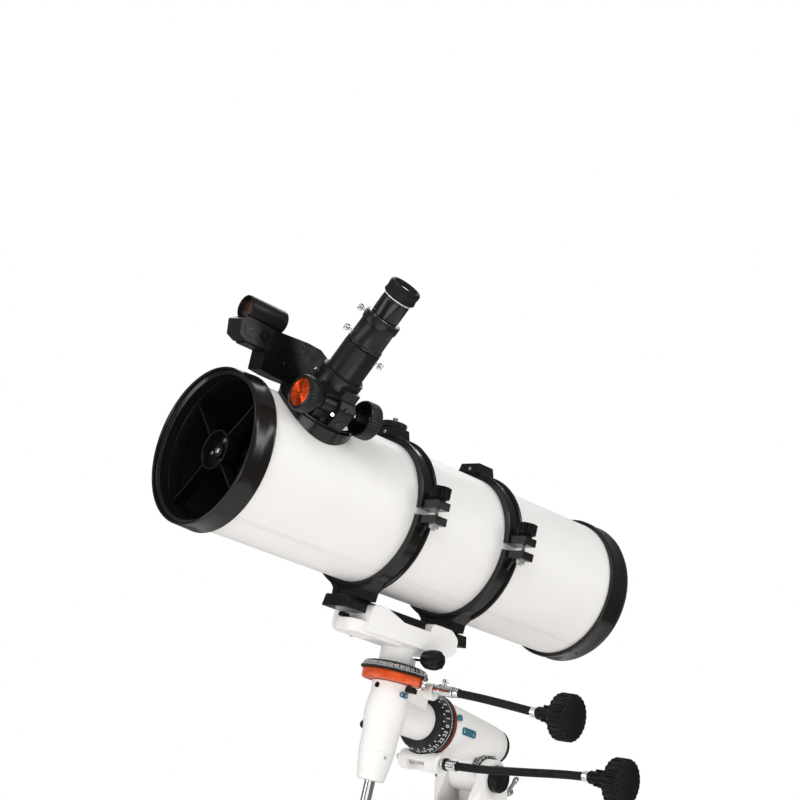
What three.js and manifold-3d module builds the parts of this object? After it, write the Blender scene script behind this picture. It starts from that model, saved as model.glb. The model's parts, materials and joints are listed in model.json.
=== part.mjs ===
// A Newtonian reflector on a small equatorial mount and a folding steel tripod.
// Millimetres, +Z up. The polar axis points to -Y and up, the eyepiece side is +X.
import * as THREE from 'three';
import { mergeVertices } from 'three/addons/utils/BufferGeometryUtils.js';
import Module from 'manifold-3d';

const wasm = await Module();
wasm.setup();

// ---- Driving dimensions ----------------------------------------------------------------
const GAP = 0.3; // between pieces that rest on each other
const LATITUDE_DEG = 20.86; // slope of the polar axis
const TUBE_TURN_DEG = 11.19; // the tube's turn about the declination axis
const PIVOT_HEIGHT = 870; // latitude pivot above the floor
const PIVOT_BEHIND = 191; // from the crossing of the axes, along the polar axis
const PIVOT_BELOW = 40;
const TUBE_HEIGHT = 205.4; // tube axis above the polar axis

const TUBE_R = 82.5;
const TUBE_INNER_R = 81.3;
const TUBE_FRONT = 322; // from the declination axis, along the tube
const TUBE_BACK = -240;
const FRONT_CELL = [301, 329];
const REAR_CELL = [-265, -229.5];
const RING_CENTRES = [82.7, -55.6];
const RING_WIDTH = 22.3;
const RING_INNER_R = 83.2;
const RING_OUTER_R = 90.9;
const RING_FOOT_BOTTOM = -100;
const FOCUSER_AT = 232;
const FOCUSER_LEAN_DEG = 37;
const FINDER_LEAN_DEG = 5.6;
const VANE_ANGLES = [45, 135, 225, 315];

const HEAD_TOP = 760; // tripod head's top face
const LEG_PIVOT = { radius: 62, height: 735 };
const LEG_SPREAD_DEG = 26;
const LEG_AZIMUTHS = { a: -90, b: 30, c: 150 };
const UPPER_LEG_LENGTH = 430;
const LEG_R = 16;
const LOWER_LEG_R = 13.6;
const BRACE_ON_LEG = { inward: 25, down: 370 };
const BRACE_SLOPE_DEG = 30;
const TRAY_LUG_RADIUS = 40;
const TRAY_RADIUS = 115;

const DEG = Math.PI / 180;
const rad = (degrees) => degrees * DEG;

// ---- Materials -------------------------------------------------------------------------
const material = (color, roughness, metalness = 0) =>
  new THREE.MeshStandardMaterial({ color, roughness, metalness });
const white = material('#f1efeb', 0.25);
const gloss = material('#121214', 0.2);
const satin = material('#2b2a2c', 0.45);
const rubber = material('#1d1c1c', 0.75);
const orange = material('#f2612c', 0.35, 0.4);
const chrome = material('#cfd0d2', 0.12, 1);
const steel = material('#b9bbbe', 0.3, 1);
const mirror = material('#e8ecef', 0.03, 1);

// ---- Shapes ----------------------------------------------------------------------------
// Geometries whose length runs along Z are turned to run along the named axis.
const alongAxis = (geometry, axis) => {
  if (axis === 'x') return geometry.rotateY(Math.PI / 2);
  if (axis === 'y') return geometry.rotateX(-Math.PI / 2);
  return geometry;
};

// A body turned about an axis, from its profile of [radius, place on the axis].
const turned = (profile, axis = 'z', segments = 20) => {
  const points = profile.map(([r, h]) => new THREE.Vector2(r, h));
  return alongAxis(new THREE.LatheGeometry(points, segments).rotateX(Math.PI / 2), axis);
};

const rod = (r, from, to, axis = 'z', segments = 14) =>
  turned([[0, from], [r, from], [r, to], [0, to]], axis, segments);

const sleeve = (inner, outer, from, to, axis = 'z', segments = 20) =>
  turned([[inner, from], [outer, from], [outer, to], [inner, to], [inner, from]], axis, segments);

const cone = (r0, r1, from, to, axis = 'z', segments = 14) =>
  turned([[0, from], [r0, from], [r1, to], [0, to]], axis, segments);

const block = ([x0, x1], [y0, y1], [z0, z1]) =>
  new THREE.BoxGeometry(x1 - x0, y1 - y0, z1 - z0)
    .translate((x0 + x1) / 2, (y0 + y1) / 2, (z0 + z1) / 2);

// A flat outline in XY, extruded from one height on Z to another.
const plate = (points, from, to, curveSegments = 12) => {
  const corners = () => points.map(([x, y]) => new THREE.Vector2(x, y));
  const shape = Array.isArray(points) ? new THREE.Shape(corners()) : points;
  const options = { depth: to - from, bevelEnabled: false, curveSegments };
  return new THREE.ExtrudeGeometry(shape, options).translate(0, 0, from);
};

// An outline in ZY, extruded along X.
const sidePlate = (points, from, to, curveSegments) =>
  plate(points, -to, -from, curveSegments).rotateY(-Math.PI / 2);

// An outline in YZ, extruded along X.
const crossPlate = (points, from, to, curveSegments) =>
  plate(points, from, to, curveSegments).rotateX(Math.PI / 2).rotateZ(Math.PI / 2);

// ---- Booleans --------------------------------------------------------------------------
const toSolid = (geometry) => {
  const bare = geometry.clone();
  bare.deleteAttribute('normal');
  bare.deleteAttribute('uv');
  const merged = mergeVertices(bare, 1e-4);
  const faces = [];
  for (let i = 0; i < merged.index.count; i += 3) {
    const [a, b, c] = [0, 1, 2].map((j) => merged.index.getX(i + j));
    if (a !== b && b !== c && a !== c) faces.push(a, b, c);
  }
  const mesh = (triVerts) =>
    new wasm.Mesh({ numProp: 3, vertProperties: merged.attributes.position.array, triVerts });
  const made = new wasm.Manifold(mesh(new Uint32Array(faces)));
  return made.volume() > 0 ? made : new wasm.Manifold(mesh(new Uint32Array(faces).reverse()));
};

const toGeometry = (solid) => {
  const { vertProperties, triVerts } = solid.getMesh();
  const geometry = new THREE.BufferGeometry();
  geometry.setAttribute('position', new THREE.BufferAttribute(vertProperties, 3));
  geometry.setIndex(new THREE.BufferAttribute(triVerts, 1));
  geometry.computeVertexNormals();
  return geometry;
};

const join = (...geometries) =>
  toGeometry(geometries.map(toSolid).reduce((whole, next) => whole.add(next)));
const cut = (geometry, ...tools) =>
  toGeometry(tools.map(toSolid).reduce((whole, tool) => whole.subtract(tool), toSolid(geometry)));
const common = (a, b) => toGeometry(toSolid(a).intersect(toSolid(b)));

// ---- The scene graph -------------------------------------------------------------------
const groupIn = (parent, place = [0, 0, 0], turn = [0, 0, 0]) => {
  const group = new THREE.Group();
  group.position.set(...place);
  group.rotation.set(...turn.map(rad));
  parent.add(group);
  return group;
};

const piece = (parent, name, geometry, look) => {
  const mesh = new THREE.Mesh(toGeometry(toSolid(geometry)), look);
  mesh.name = name;
  parent.add(mesh);
};

// A knob with shallow flutes, between two places on its axis.
const flutedKnob = (r, from, to, axis, flutes, depth) => {
  const outline = new THREE.Shape();
  const steps = flutes * 2;
  for (let i = 0; i < steps; i += 1) {
    const angle = (i / steps) * 2 * Math.PI;
    const reach = r - depth * (0.5 - 0.5 * Math.cos(angle * flutes));
    if (i) outline.lineTo(reach * Math.cos(angle), reach * Math.sin(angle));
    else outline.moveTo(reach, 0);
  }
  return alongAxis(plate(outline, from, to), axis);
};

// ---- Tripod ----------------------------------------------------------------------------
const telescope = new THREE.Group();

const makeTripodHead = (parent) => {
  const lugs = Object.values(LEG_AZIMUTHS).map((azimuth) => {
    const pair = cut(
      block([26, 74], [-26, 26], [712, HEAD_TOP - 6]),
      block([40, 80], [-18, 18], [700, HEAD_TOP - 10]),
      rod(4.3, -30, 30, 'y', 10).translate(LEG_PIVOT.radius, 0, LEG_PIVOT.height),
    );
    return pair.rotateZ(rad(azimuth));
  });
  const core = rod(52, HEAD_TOP - 14, HEAD_TOP, 'z', 28);
  const boss = rod(34, 706, HEAD_TOP - 10, 'z', 20);
  const boltHole = rod(6.4, 690, HEAD_TOP + 10, 'z', 10);
  piece(parent, 'tripod_head', cut(join(core, boss, ...lugs), boltHole), satin);
};

// The leg's own frame: the pivot is its origin, and the leg hangs along -Z.
const makeLeg = (parent, letter, azimuth) => {
  const radial = groupIn(parent, [0, 0, 0], [0, 0, azimuth]);
  const leg = groupIn(radial, [LEG_PIVOT.radius, 0, LEG_PIVOT.height], [0, -LEG_SPREAD_DEG, 0]);
  const { inward, down } = BRACE_ON_LEG;
  const end = -UPPER_LEG_LENGTH;
  const lug = join(
    block([-inward - 8, -LEG_R + 1], [-5, 0.5], [-down - 8, -down + 8]),
    rod(3, 0, 6.2, 'y', 8).translate(-inward, 0, -down),
  );
  const outside = join(
    rod(13.5, -17.5, 17.5, 'y', 12),
    block([-13.5, 13.5], [-17.5, 17.5], [-40, 0]),
    rod(19.5, -66, -30, 'z', 12),
    rod(LEG_R, end, -50, 'z', 12),
    rod(19.5, end, end + 38, 'z', 12),
    lug,
  );
  const bore = rod(LOWER_LEG_R + 0.6, end - 5, -70, 'z', 12);
  const lockHole = rod(3.4, 8, 30, 'x', 8).translate(0, 0, end + 18);
  const pivot = join(rod(4, -31, 31, 'y', 8), rod(7, -31, -26.4, 'y', 6), rod(7, 26.4, 31, 'y', 6));
  piece(leg, `upper_leg_${letter}`, join(cut(outside, bore, lockHole), pivot), steel);

  // The foot stands flat on the floor under the end of the leg.
  const reach = LEG_PIVOT.height / Math.cos(rad(LEG_SPREAD_DEG));
  const foot = turned([[0, 0], [19, 0], [20, 3], [19, 14], [15.5, 24], [0, 24]], 'z', 12)
    .rotateY(rad(LEG_SPREAD_DEG))
    .translate(0, 0, -reach);
  const shank = cut(
    rod(LOWER_LEG_R, -reach + 9, -330, 'z', 12),
    rod(LOWER_LEG_R - 1.4, -reach + 40, -320, 'z', 12),
  );
  piece(leg, `lower_leg_${letter}`, join(shank, foot), steel);

  const knob = join(
    rod(2.8, LOWER_LEG_R + 0.6, 26, 'x', 8),
    flutedKnob(11, 24, 38, 'x', 6, 2),
  ).translate(0, 0, end + 18);
  piece(leg, `leg_lock_knob_${letter}`, knob, gloss);
};

// A flat bar beside the leg's lug and the tray's lug, in the leg's radial plane.
const makeBrace = (parent, letter, azimuth) => {
  const spread = rad(LEG_SPREAD_DEG);
  const { inward, down } = BRACE_ON_LEG;
  const outer = {
    r: LEG_PIVOT.radius - inward * Math.cos(spread) + down * Math.sin(spread),
    z: LEG_PIVOT.height - inward * Math.sin(spread) - down * Math.cos(spread),
  };
  const slope = rad(BRACE_SLOPE_DEG);
  const length = (outer.r - TRAY_LUG_RADIUS) / Math.cos(slope);
  const radial = groupIn(parent, [0, 0, 0], [0, 0, azimuth]);
  const brace = groupIn(radial, [outer.r, 0, outer.z], [0, 180 - BRACE_SLOPE_DEG, 0]);
  const bar = join(
    block([0, length], [1, 5.2], [-8, 8]),
    rod(8, 1, 5.2, 'y', 12),
    rod(8, 1, 5.2, 'y', 12).translate(length, 0, 0),
  );
  piece(brace, `brace_${letter}`, cut(bar, rod(3.4, -10, 10, 'y', 8)), gloss);
  return outer.z - length * Math.sin(slope);
};

const makeTray = (parent, lugHeight) => {
  const floor = lugHeight + 18;
  const outline = new THREE.Shape().absarc(0, 0, TRAY_RADIUS, 0, 2 * Math.PI);
  const disc = plate(outline, floor, floor + 4, 24);
  const slots = Object.values(LEG_AZIMUTHS).map((azimuth) =>
    join(
      block([46, TRAY_RADIUS + 20], [-22, 22], [floor - 2, floor + 6]),
      rod(22, floor - 2, floor + 6, 'z', 8).translate(46, 0, 0),
    ).rotateZ(rad(azimuth)));
  const holes = Object.values(LEG_AZIMUTHS).flatMap((azimuth) =>
    [-19, 19].map((across) =>
      rod(16.2, floor - 2, floor + 6, 'z', 10).translate(88, across, 0).rotateZ(rad(azimuth + 60))));
  const rim = cut(
    rod(16, floor - 10, floor + 1, 'z', 14),
    rod(4, floor - 12, floor + 6, 'z', 8),
  );
  const lugs = Object.values(LEG_AZIMUTHS).map((azimuth) =>
    join(
      block([8, TRAY_LUG_RADIUS + 6], [-5, 0.5], [lugHeight + 6, floor - 2]),
      block([TRAY_LUG_RADIUS - 8, TRAY_LUG_RADIUS + 6], [-5, 0.5], [lugHeight - 8, floor - 2]),
    ).rotateZ(rad(azimuth)));
  piece(parent, 'accessory_tray', join(cut(disc, ...slots, ...holes), rim, ...lugs), gloss);
};

makeTripodHead(telescope);
let trayLugHeight = 0;
for (const [letter, azimuth] of Object.entries(LEG_AZIMUTHS)) {
  makeLeg(telescope, letter, azimuth);
  trayLugHeight = makeBrace(telescope, letter, azimuth);
}
makeTray(telescope, trayLugHeight);

// ---- Azimuth base: its frame has the latitude pivot as origin ---------------------------
const YOKE = { half: 34, front: -46, back: 42, floor: -58, cheekIn: 21.8 };
const BOLT_DROP = 36; // latitude bolts below the pivot
const TAIL_HALF = 8;
const BOLT_CLEARANCE = 1.5; // from a bolt's tip to the tail

const makeAzimuthBase = (parent) => {
  const { half, front, back, floor, cheekIn } = YOKE;
  const cheekOutline = new THREE.Shape();
  cheekOutline.moveTo(front, -30);
  cheekOutline.lineTo(-21, 2);
  cheekOutline.absarc(0, 0, 22, Math.PI * 0.97, Math.PI * 0.03, true);
  cheekOutline.lineTo(back, -30);
  cheekOutline.lineTo(back, floor);
  cheekOutline.lineTo(front, floor);
  const cheeks = crossPlate(cheekOutline, -half, half, 12);
  const column = turned(
    [[0, PIVOT_FLANGE], [38, PIVOT_FLANGE], [38, PIVOT_FLANGE + 9], [29, PIVOT_FLANGE + 15],
      [28, -62], [31, -50], [0, -50]],
    'z', 24,
  );
  const oval = new THREE.Shape();
  oval.absellipse(0, (front + back) / 2, half + 7, (back - front) / 2 + 4, 0, 2 * Math.PI);
  const whole = join(common(cheeks, plate(oval, -80, 30, 20)), column);
  const pocket = block([-cheekIn, cheekIn], [front + 8, back - 8], [floor + 8, 40]);
  const open = block([-cheekIn, cheekIn], [front - 10, back + 10], [-26, 40]);
  const pivotBore = rod(6.4, -60, 60, 'x', 12);
  const boltBore = rod(4.4, front - 20, back + 20, 'y', 10).translate(0, 0, -BOLT_DROP);
  const under = rod(8, PIVOT_FLANGE - 5, PIVOT_FLANGE + 32, 'z', 12);
  piece(parent, 'azimuth_base', cut(whole, pocket, open, pivotBore, boltBore, under), white);
};
const PIVOT_FLANGE = HEAD_TOP + GAP - PIVOT_HEIGHT;

const makeAzimuthFasteners = (parent) => {
  const { front, back } = YOKE;
  const axle = join(
    rod(6, -46, 46, 'x', 12),
    turned([[0, -46], [14, -46], [16, -43], [16, -34.4], [0, -34.4]], 'x', 16),
    turned([[0, 34.4], [16, 34.4], [16, 43], [14, 46], [0, 46]], 'x', 16),
  );
  piece(parent, 'latitude_pivot_bolt', axle, gloss);
  const tip = TAIL_HALF + BOLT_CLEARANCE;
  const handle = (y) => rod(3.2, -24, 24, 'z', 8).rotateY(rad(35)).translate(0, y, -BOLT_DROP);
  const frontBolt = join(rod(4, front - 26, -tip, 'y', 10).translate(0, 0, -BOLT_DROP), handle(front - 24));
  const backBolt = join(rod(4, tip, back + 36, 'y', 10).translate(0, 0, -BOLT_DROP), handle(back + 34));
  piece(parent, 'latitude_bolt_front', frontBolt, steel);
  piece(parent, 'latitude_bolt_rear', backBolt, steel);
  const lock = join(
    rod(3.4, 30, 46, 'x', 8),
    flutedKnob(11, 44, 60, 'x', 8, 1.6),
  ).translate(0, 0, PIVOT_FLANGE + 22);
  piece(parent, 'azimuth_lock_knob', lock, gloss);
};

const azimuth = groupIn(telescope, [0, 0, PIVOT_HEIGHT]);
makeAzimuthBase(azimuth);
makeAzimuthFasteners(azimuth);

// ---- Polar frame: X as before, Y up the declination axis, Z along the polar axis ---------
const polarSlope = 90 - LATITUDE_DEG;
const latitude = groupIn(azimuth, [0, 0, 0], [polarSlope, 0, 0]);
const polar = groupIn(latitude, [0, PIVOT_BELOW, PIVOT_BEHIND]);
const RA_WORM = { y: -42, z: -85, r: 5.2 };
const DEC_WORM = { y: 35, z: -42, r: 5.2 };

const makePolarHousing = (parent) => {
  const body = turned(
    [[13, -92.5], [31, -92.5], [32, -100], [27, -170], [23, -218], [21, -222], [13, -222], [13, -92.5]],
    'z', 24,
  );
  const hub = rod(20, -21.4, 21.4, 'x', 20).translate(0, -PIVOT_BELOW, -PIVOT_BEHIND);
  const web = block([-15, 15], [-42, -16], [-216, -166]);
  const tail = block([-13, 13], [-TAIL_HALF, TAIL_HALF], [-44, -8])
    .rotateX(rad(-polarSlope))
    .translate(0, -PIVOT_BELOW, -PIVOT_BEHIND);
  const wormBody = rod(11.5, -26, 30, 'x', 16).translate(0, RA_WORM.y - 1, RA_WORM.z);
  const wormWeb = block([-18, 22], [-52, -22], [-112, -88]);
  const around = cut(
    join(body, hub, web, tail, wormBody, wormWeb),
    rod(36.8, -92.2, -60, 'z', 28),
    rod(13, -230, -80, 'z', 20),
    rod(6.3, -60, 60, 'x', 12).translate(0, -PIVOT_BELOW, -PIVOT_BEHIND),
    rod(RA_WORM.r + 0.8, -30, 35, 'x', 12).translate(0, RA_WORM.y, RA_WORM.z),
    block([-13, 13], [-60, RA_WORM.y - 2], [RA_WORM.z - 4, RA_WORM.z + 20]),
  );
  piece(parent, 'polar_housing', around, white);
  const cap = turned([[0, -231], [16, -231], [21.5, -228], [21.5, -222.3], [0, -222.3]], 'z', 20);
  piece(parent, 'polar_cap', cap, gloss);
};

// The axle, dial and worm wheel that turn with right ascension.
const makePolarAxle = (parent) => {
  piece(parent, 'polar_axle', rod(12.3, -221.8, -50.3, 'z', 20), steel);
  const dial = turned(
    [[12.8, -66.8], [31, -66.8], [32.5, -70], [33, -71], [36, -84], [36, -86.6], [12.8, -86.6],
      [12.8, -66.8]],
    'z', 32,
  );
  piece(parent, 'ra_setting_circle', dial, satin);
};

// A worm on the X axis with a chrome coupling at its +X end.
const makeWorm = (parent, name, { y, z, r }, tail, couplingEnd) => {
  const worm = join(
    rod(r, -16, 16, 'x', 14),
    rod(3.6, tail, 34, 'x', 10),
    rod(6.4, 30.6, couplingEnd - GAP, 'x', 12),
  ).translate(0, y, z);
  piece(parent, name, worm, chrome);
};

const cableShape = (r, sides) => {
  const outline = new THREE.Shape();
  for (let i = 0; i < sides; i += 1) {
    const angle = (i / sides) * 2 * Math.PI;
    outline[i ? 'lineTo' : 'moveTo'](r * Math.cos(angle), r * Math.sin(angle));
  }
  return outline;
};

// A slow-motion cable: a stiff round sheath along a smooth route.
const makeCable = (parent, name, route) => {
  const path = new THREE.CatmullRomCurve3(route.map((p) => new THREE.Vector3(...p)));
  const sheath = new THREE.ExtrudeGeometry(cableShape(4.8, 8), {
    extrudePath: path, steps: 8, bevelEnabled: false,
  });
  piece(parent, name, sheath, rubber);
};

const makeSlowKnob = (parent, name, from, hubEnd, to, y, z) => {
  const knob = join(
    cone(7, 10, from, hubEnd, 'x', 14),
    flutedKnob(26.2, hubEnd - 0.5, to, 'x', 24, 1.6),
  ).translate(0, y, z);
  piece(parent, name, knob, gloss);
};

const RA_CABLE = [52, 226];
const DEC_CABLE = [57, 172];
const RA_CABLE_RISE = 14;
const DEC_CABLE_DROP = 8.5;
const makeSlowMotions = (parent) => {
  makeWorm(parent, 'ra_worm', RA_WORM, -34, RA_CABLE[0]);
  const { y, z } = RA_WORM;
  makeCable(parent, 'ra_cable', [
    [RA_CABLE[0], y, z], [90, y + 2, z], [140, y + 6.5, z], [190, y + 11.5, z],
    [RA_CABLE[1], y + RA_CABLE_RISE, z],
  ]);
  makeSlowKnob(parent, 'ra_slow_knob', RA_CABLE[1] + 2 * GAP, 255, 276, y + RA_CABLE_RISE, z);
};

makePolarHousing(polar);
makePolarAxle(polar);
makeSlowMotions(polar);

// ---- Declination housing, which turns about the polar axis --------------------------------
const makeDeclinationHousing = (parent) => {
  const barrel = turned(
    [[0, -80.7], [15.5, -80.7], [20.5, -50], [21, -28], [24.4, -6], [21.4, 20], [23, 29.5], [0, 29.5]],
    'y', 24,
  );
  const boss = rod(22.3, -66.4, -8, 'z', 20);
  const wormBody = rod(9.5, -20, 30, 'x', 16).translate(0, DEC_WORM.y - 3, DEC_WORM.z - 1);
  const wormWeb = block([-16, 20], [10, 31], [-50, -14]);
  const housing = cut(
    join(barrel, boss, wormBody, wormWeb),
    rod(36.8, 29.8, 60, 'y', 28),
    rod(9.2, -40, 70, 'y', 16),
    rod(6.3, -90, -45, 'y', 12),
    rod(12.6, -70, -50, 'z', 20),
    rod(DEC_WORM.r + 0.8, -30, 35, 'x', 12).translate(0, DEC_WORM.y, DEC_WORM.z),
  );
  piece(parent, 'declination_housing', housing, white);
  const shaft = turned(
    [[0, -300], [7.5, -300], [8.2, -297], [6, -296], [6, -60], [0, -60]], 'y', 14,
  );
  piece(parent, 'counterweight_shaft', shaft, chrome);
};

const COUNTERWEIGHT = [-262, -204];
const makeCounterweight = (parent) => {
  const [low, high] = COUNTERWEIGHT;
  const mass = turned(
    [[6.4, low], [40, low], [46, low + 6], [46, high - 6], [40, high], [6.4, high], [6.4, low]],
    'y', 28,
  );
  const middle = (low + high) / 2;
  const screwHole = rod(4.3, 0, 60, 'x', 8).translate(0, middle, 0);
  piece(parent, 'counterweight', cut(mass, screwHole), white);
  const knob = join(rod(4, 6.9, 56, 'x', 8), flutedKnob(12, 54, 70, 'x', 8, 1.8));
  piece(parent, 'counterweight_lock_knob', knob.translate(0, middle, 0), gloss);
};

const makeDecSlowMotion = (parent) => {
  makeWorm(parent, 'dec_worm', DEC_WORM, -24, DEC_CABLE[0]);
  const { y, z } = DEC_WORM;
  makeCable(parent, 'dec_cable', [
    [DEC_CABLE[0], y, z], [95, y - 2, z], [135, y - 5.2, z], [DEC_CABLE[1], y - DEC_CABLE_DROP, z],
  ]);
  makeSlowKnob(parent, 'dec_slow_knob', DEC_CABLE[1] + 2 * GAP, 199, 221, y - DEC_CABLE_DROP, z);
};

const makeAxisLocks = (parent) => {
  const lever = join(
    rod(3.4, 29, 34, 'x', 8),
    turned([[0, 32], [5, 32], [6, 36], [4.5, 52], [0, 54]], 'x', 12),
  ).rotateZ(rad(200)).rotateY(rad(-25)).translate(0, -2, 0);
  piece(parent, 'ra_lock_lever', lever, gloss);
};

makeDeclinationHousing(polar);
makeCounterweight(polar);
makeDecSlowMotion(polar);
makeAxisLocks(polar);

// ---- Saddle head, which turns about the declination axis ----------------------------------
const head = groupIn(polar, [0, 0, 0], [0, -TUBE_TURN_DEG, 0]);
const optics = groupIn(head, [0, TUBE_HEIGHT, 0]);
const DOVETAIL = { top: RING_FOOT_BOTTOM - GAP, bottom: -114, halfTop: 18.5, halfBottom: 22 };
const SADDLE = { front: 80, back: -56, floor: -133, ledge: DOVETAIL.bottom - GAP };

const makeDeclinationAxle = (parent) => {
  const wheel = sleeve(9.2, 36, 30.1, 40.4, 'y', 32);
  const dial = turned(
    [[9.2, 40.7], [39, 40.7], [39, 43.5], [35, 49.6], [22.5, 51.4], [9.2, 51.4], [9.2, 40.7]],
    'y', 32,
  );
  piece(parent, 'dec_worm_wheel', wheel, orange);
  piece(parent, 'dec_setting_circle', dial, satin);
  const knob = join(
    rod(3.6, 21.4, 36, 'x', 10),
    flutedKnob(11.5, 34, 62, 'x', 8, 1.6),
  ).rotateY(rad(TUBE_TURN_DEG)).translate(0, 62, 0);
  piece(parent, 'dec_lock_knob', knob, gloss);
};

const makeSaddle = (parent) => {
  const { front, back, floor, ledge } = SADDLE;
  const neckTop = floor + 1;
  const neck = join(
    rod(21, 52.3 - TUBE_HEIGHT, neckTop, 'y', 20),
    rod(8.9, -36 - TUBE_HEIGHT, 60 - TUBE_HEIGHT, 'y', 16),
  );
  const jaw = new THREE.Shape();
  jaw.moveTo(front, floor);
  jaw.lineTo(front - 2, -112);
  jaw.quadraticCurveTo(front - 5, -103, 66, -103);
  jaw.lineTo(54, -103);
  jaw.quadraticCurveTo(44, -103, 38, -107);
  jaw.lineTo(30, -111.5);
  jaw.lineTo(-12, -111.5);
  jaw.lineTo(-13, -104);
  jaw.quadraticCurveTo(-14, -101.5, -18, -101.5);
  jaw.lineTo(-42, -101.5);
  jaw.quadraticCurveTo(back, -102, back, -116);
  jaw.lineTo(back, -122);
  jaw.quadraticCurveTo(back, floor, back + 14, floor);
  const body = sidePlate(jaw, -32, 32, 8);
  const { top, halfTop, halfBottom } = DOVETAIL;
  const slope = (halfBottom - halfTop) / (top - DOVETAIL.bottom);
  const wide = halfBottom + 0.5;
  const slot = plate(
    [[-wide, ledge], [wide, ledge], [wide - slope * 20, ledge + 20], [-wide + slope * 20, ledge + 20]],
    back - 20, front + 20,
  );
  piece(parent, 'saddle', cut(join(body, neck), slot), white);
  const clamp = join(
    rod(3.3, -44, -32.3, 'x', 10),
    flutedKnob(10, -58, -42, 'x', 8, 1.6),
  ).translate(0, -122, 30);
  piece(parent, 'saddle_knob', clamp, gloss);
};

const makeDovetail = (parent) => {
  const { top, bottom, halfTop, halfBottom } = DOVETAIL;
  const bar = plate(
    [[-halfBottom, bottom], [halfBottom, bottom], [halfTop, top], [-halfTop, top]], -80, 108,
  );
  piece(parent, 'dovetail_bar', bar, gloss);
};

makeDeclinationAxle(head);
makeSaddle(optics);
makeDovetail(optics);

// ---- Tube rings: outlines in XY, extruded along the tube -----------------------------------
const EAR = { from: 4, to: 16, reach: 120, screwAt: 106 };
const HINGE_AT = -95.5;

// Half of a ring, above the split plane, with its clamp ear; the lower half is its mirror.
const halfRingOutline = () => {
  const shape = new THREE.Shape();
  const start = Math.asin(EAR.from / RING_OUTER_R);
  const inner = Math.asin(EAR.from / RING_INNER_R);
  const hinge = Math.asin(1 / RING_OUTER_R);
  const hingeIn = Math.asin(1 / RING_INNER_R);
  shape.moveTo(RING_INNER_R * Math.cos(inner), EAR.from);
  shape.lineTo(EAR.reach, EAR.from);
  shape.lineTo(EAR.reach, EAR.to);
  shape.lineTo(RING_OUTER_R * Math.cos(Math.asin(EAR.to / RING_OUTER_R)), EAR.to);
  shape.absarc(0, 0, RING_OUTER_R, Math.max(start, Math.asin(EAR.to / RING_OUTER_R)), Math.PI - hinge, false);
  shape.absarc(0, 0, RING_INNER_R, Math.PI - hingeIn, inner, true);
  return shape;
};

const makeRing = (parent, name, centre) => {
  const [from, to] = [centre - RING_WIDTH / 2, centre + RING_WIDTH / 2];
  const third = RING_WIDTH / 3;
  const upper = plate(halfRingOutline(), from, to, 18);
  const lower = plate(halfRingOutline(), from, to, 18).rotateX(Math.PI).translate(0, 0, 2 * centre);
  const knuckle = (a, b, r = 5) => rod(r, from + a, from + b, 'z', 10).translate(HINGE_AT, 0, 0);
  const web = (a, b, side) =>
    block([HINGE_AT, -RING_INNER_R - 1], side > 0 ? [1, 5] : [-5, -1], [from + a, from + b]);
  const screwHole = rod(3.2, -30, 30, 'y', 10).translate(EAR.screwAt, 0, centre);

  const pad = plate([[-20, 86], [20, 86], [15, 100.5], [-15, 100.5]], from, to);
  const outside = rod(RING_INNER_R, from - 1, to + 1, 'z', 28);
  const cap = cut(
    join(
      cut(upper, knuckle(-1, third + GAP, 5.4), knuckle(2 * third - GAP, 3 * third + 1, 5.4)),
      cut(pad, outside),
      knuckle(third + GAP, 2 * third - GAP),
      web(third + GAP, 2 * third - GAP, 1),
    ),
    knuckle(-2, 3 * third + 2, 2.3),
    screwHole,
  );
  piece(parent, `ring_cap_${name}`, cap, gloss);

  const footOutline = [
    [-42, -74], [42, -74], [30, -88], [26, RING_FOOT_BOTTOM], [-26, RING_FOOT_BOTTOM], [-30, -88],
  ];
  const foot = plate(footOutline, from, to);
  const base = join(
    cut(lower, knuckle(third - GAP, 2 * third + GAP, 5.4)),
    cut(foot, outside),
    knuckle(0, third - GAP),
    knuckle(2 * third + GAP, 3 * third),
    web(0, third - GAP, -1),
    web(2 * third + GAP, 3 * third, -1),
    knuckle(0, 3 * third, 2),
  );
  piece(parent, `ring_base_${name}`, cut(base, screwHole), gloss);

  const knob = join(
    rod(2.2, -12, 20, 'y', 8),
    flutedKnob(11, EAR.to + GAP, EAR.to + 14, 'y', 10, 1),
  ).translate(EAR.screwAt, 0, centre);
  piece(parent, `ring_knob_${name}`, knob, gloss);
};

const [frontRing, rearRing] = RING_CENTRES;
makeRing(optics, 'front', frontRing);
makeRing(optics, 'rear', rearRing);
const piggyback = join(
  flutedKnob(15.5, 100.8, 107, 'y', 16, 0.8),
  rod(3, 106, 113, 'y', 10),
).translate(0, 0, frontRing);
piece(optics, 'piggyback_disc', piggyback, gloss);

// ---- Optical tube --------------------------------------------------------------------------
const focuserFrame = (parent) => groupIn(parent, [0, 0, FOCUSER_AT], [0, 0, -FOCUSER_LEAN_DEG]);
const inFocuser = (geometry) =>
  geometry.rotateZ(rad(-FOCUSER_LEAN_DEG)).translate(0, 0, FOCUSER_AT);

const makeTube = (parent) => {
  const shell = sleeve(TUBE_INNER_R, TUBE_R, TUBE_BACK, TUBE_FRONT, 'z', 40);
  const hole = inFocuser(rod(23, 60, 100, 'y', 16));
  piece(parent, 'tube', cut(shell, hole), white);
};

const makeFrontCell = (parent) => {
  const [back, front] = FRONT_CELL;
  const collar = TUBE_R + GAP;
  piece(parent, 'front_cell', turned(
    [[collar, back], [88.4, back], [88.4, back + 7], [86, back + 10], [86, front - 8], [87.3, front],
      [82, front], [78, front - 4], [78, TUBE_FRONT + GAP], [collar, TUBE_FRONT + GAP], [collar, back]],
    'z', 40,
  ), gloss);
};

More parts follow.
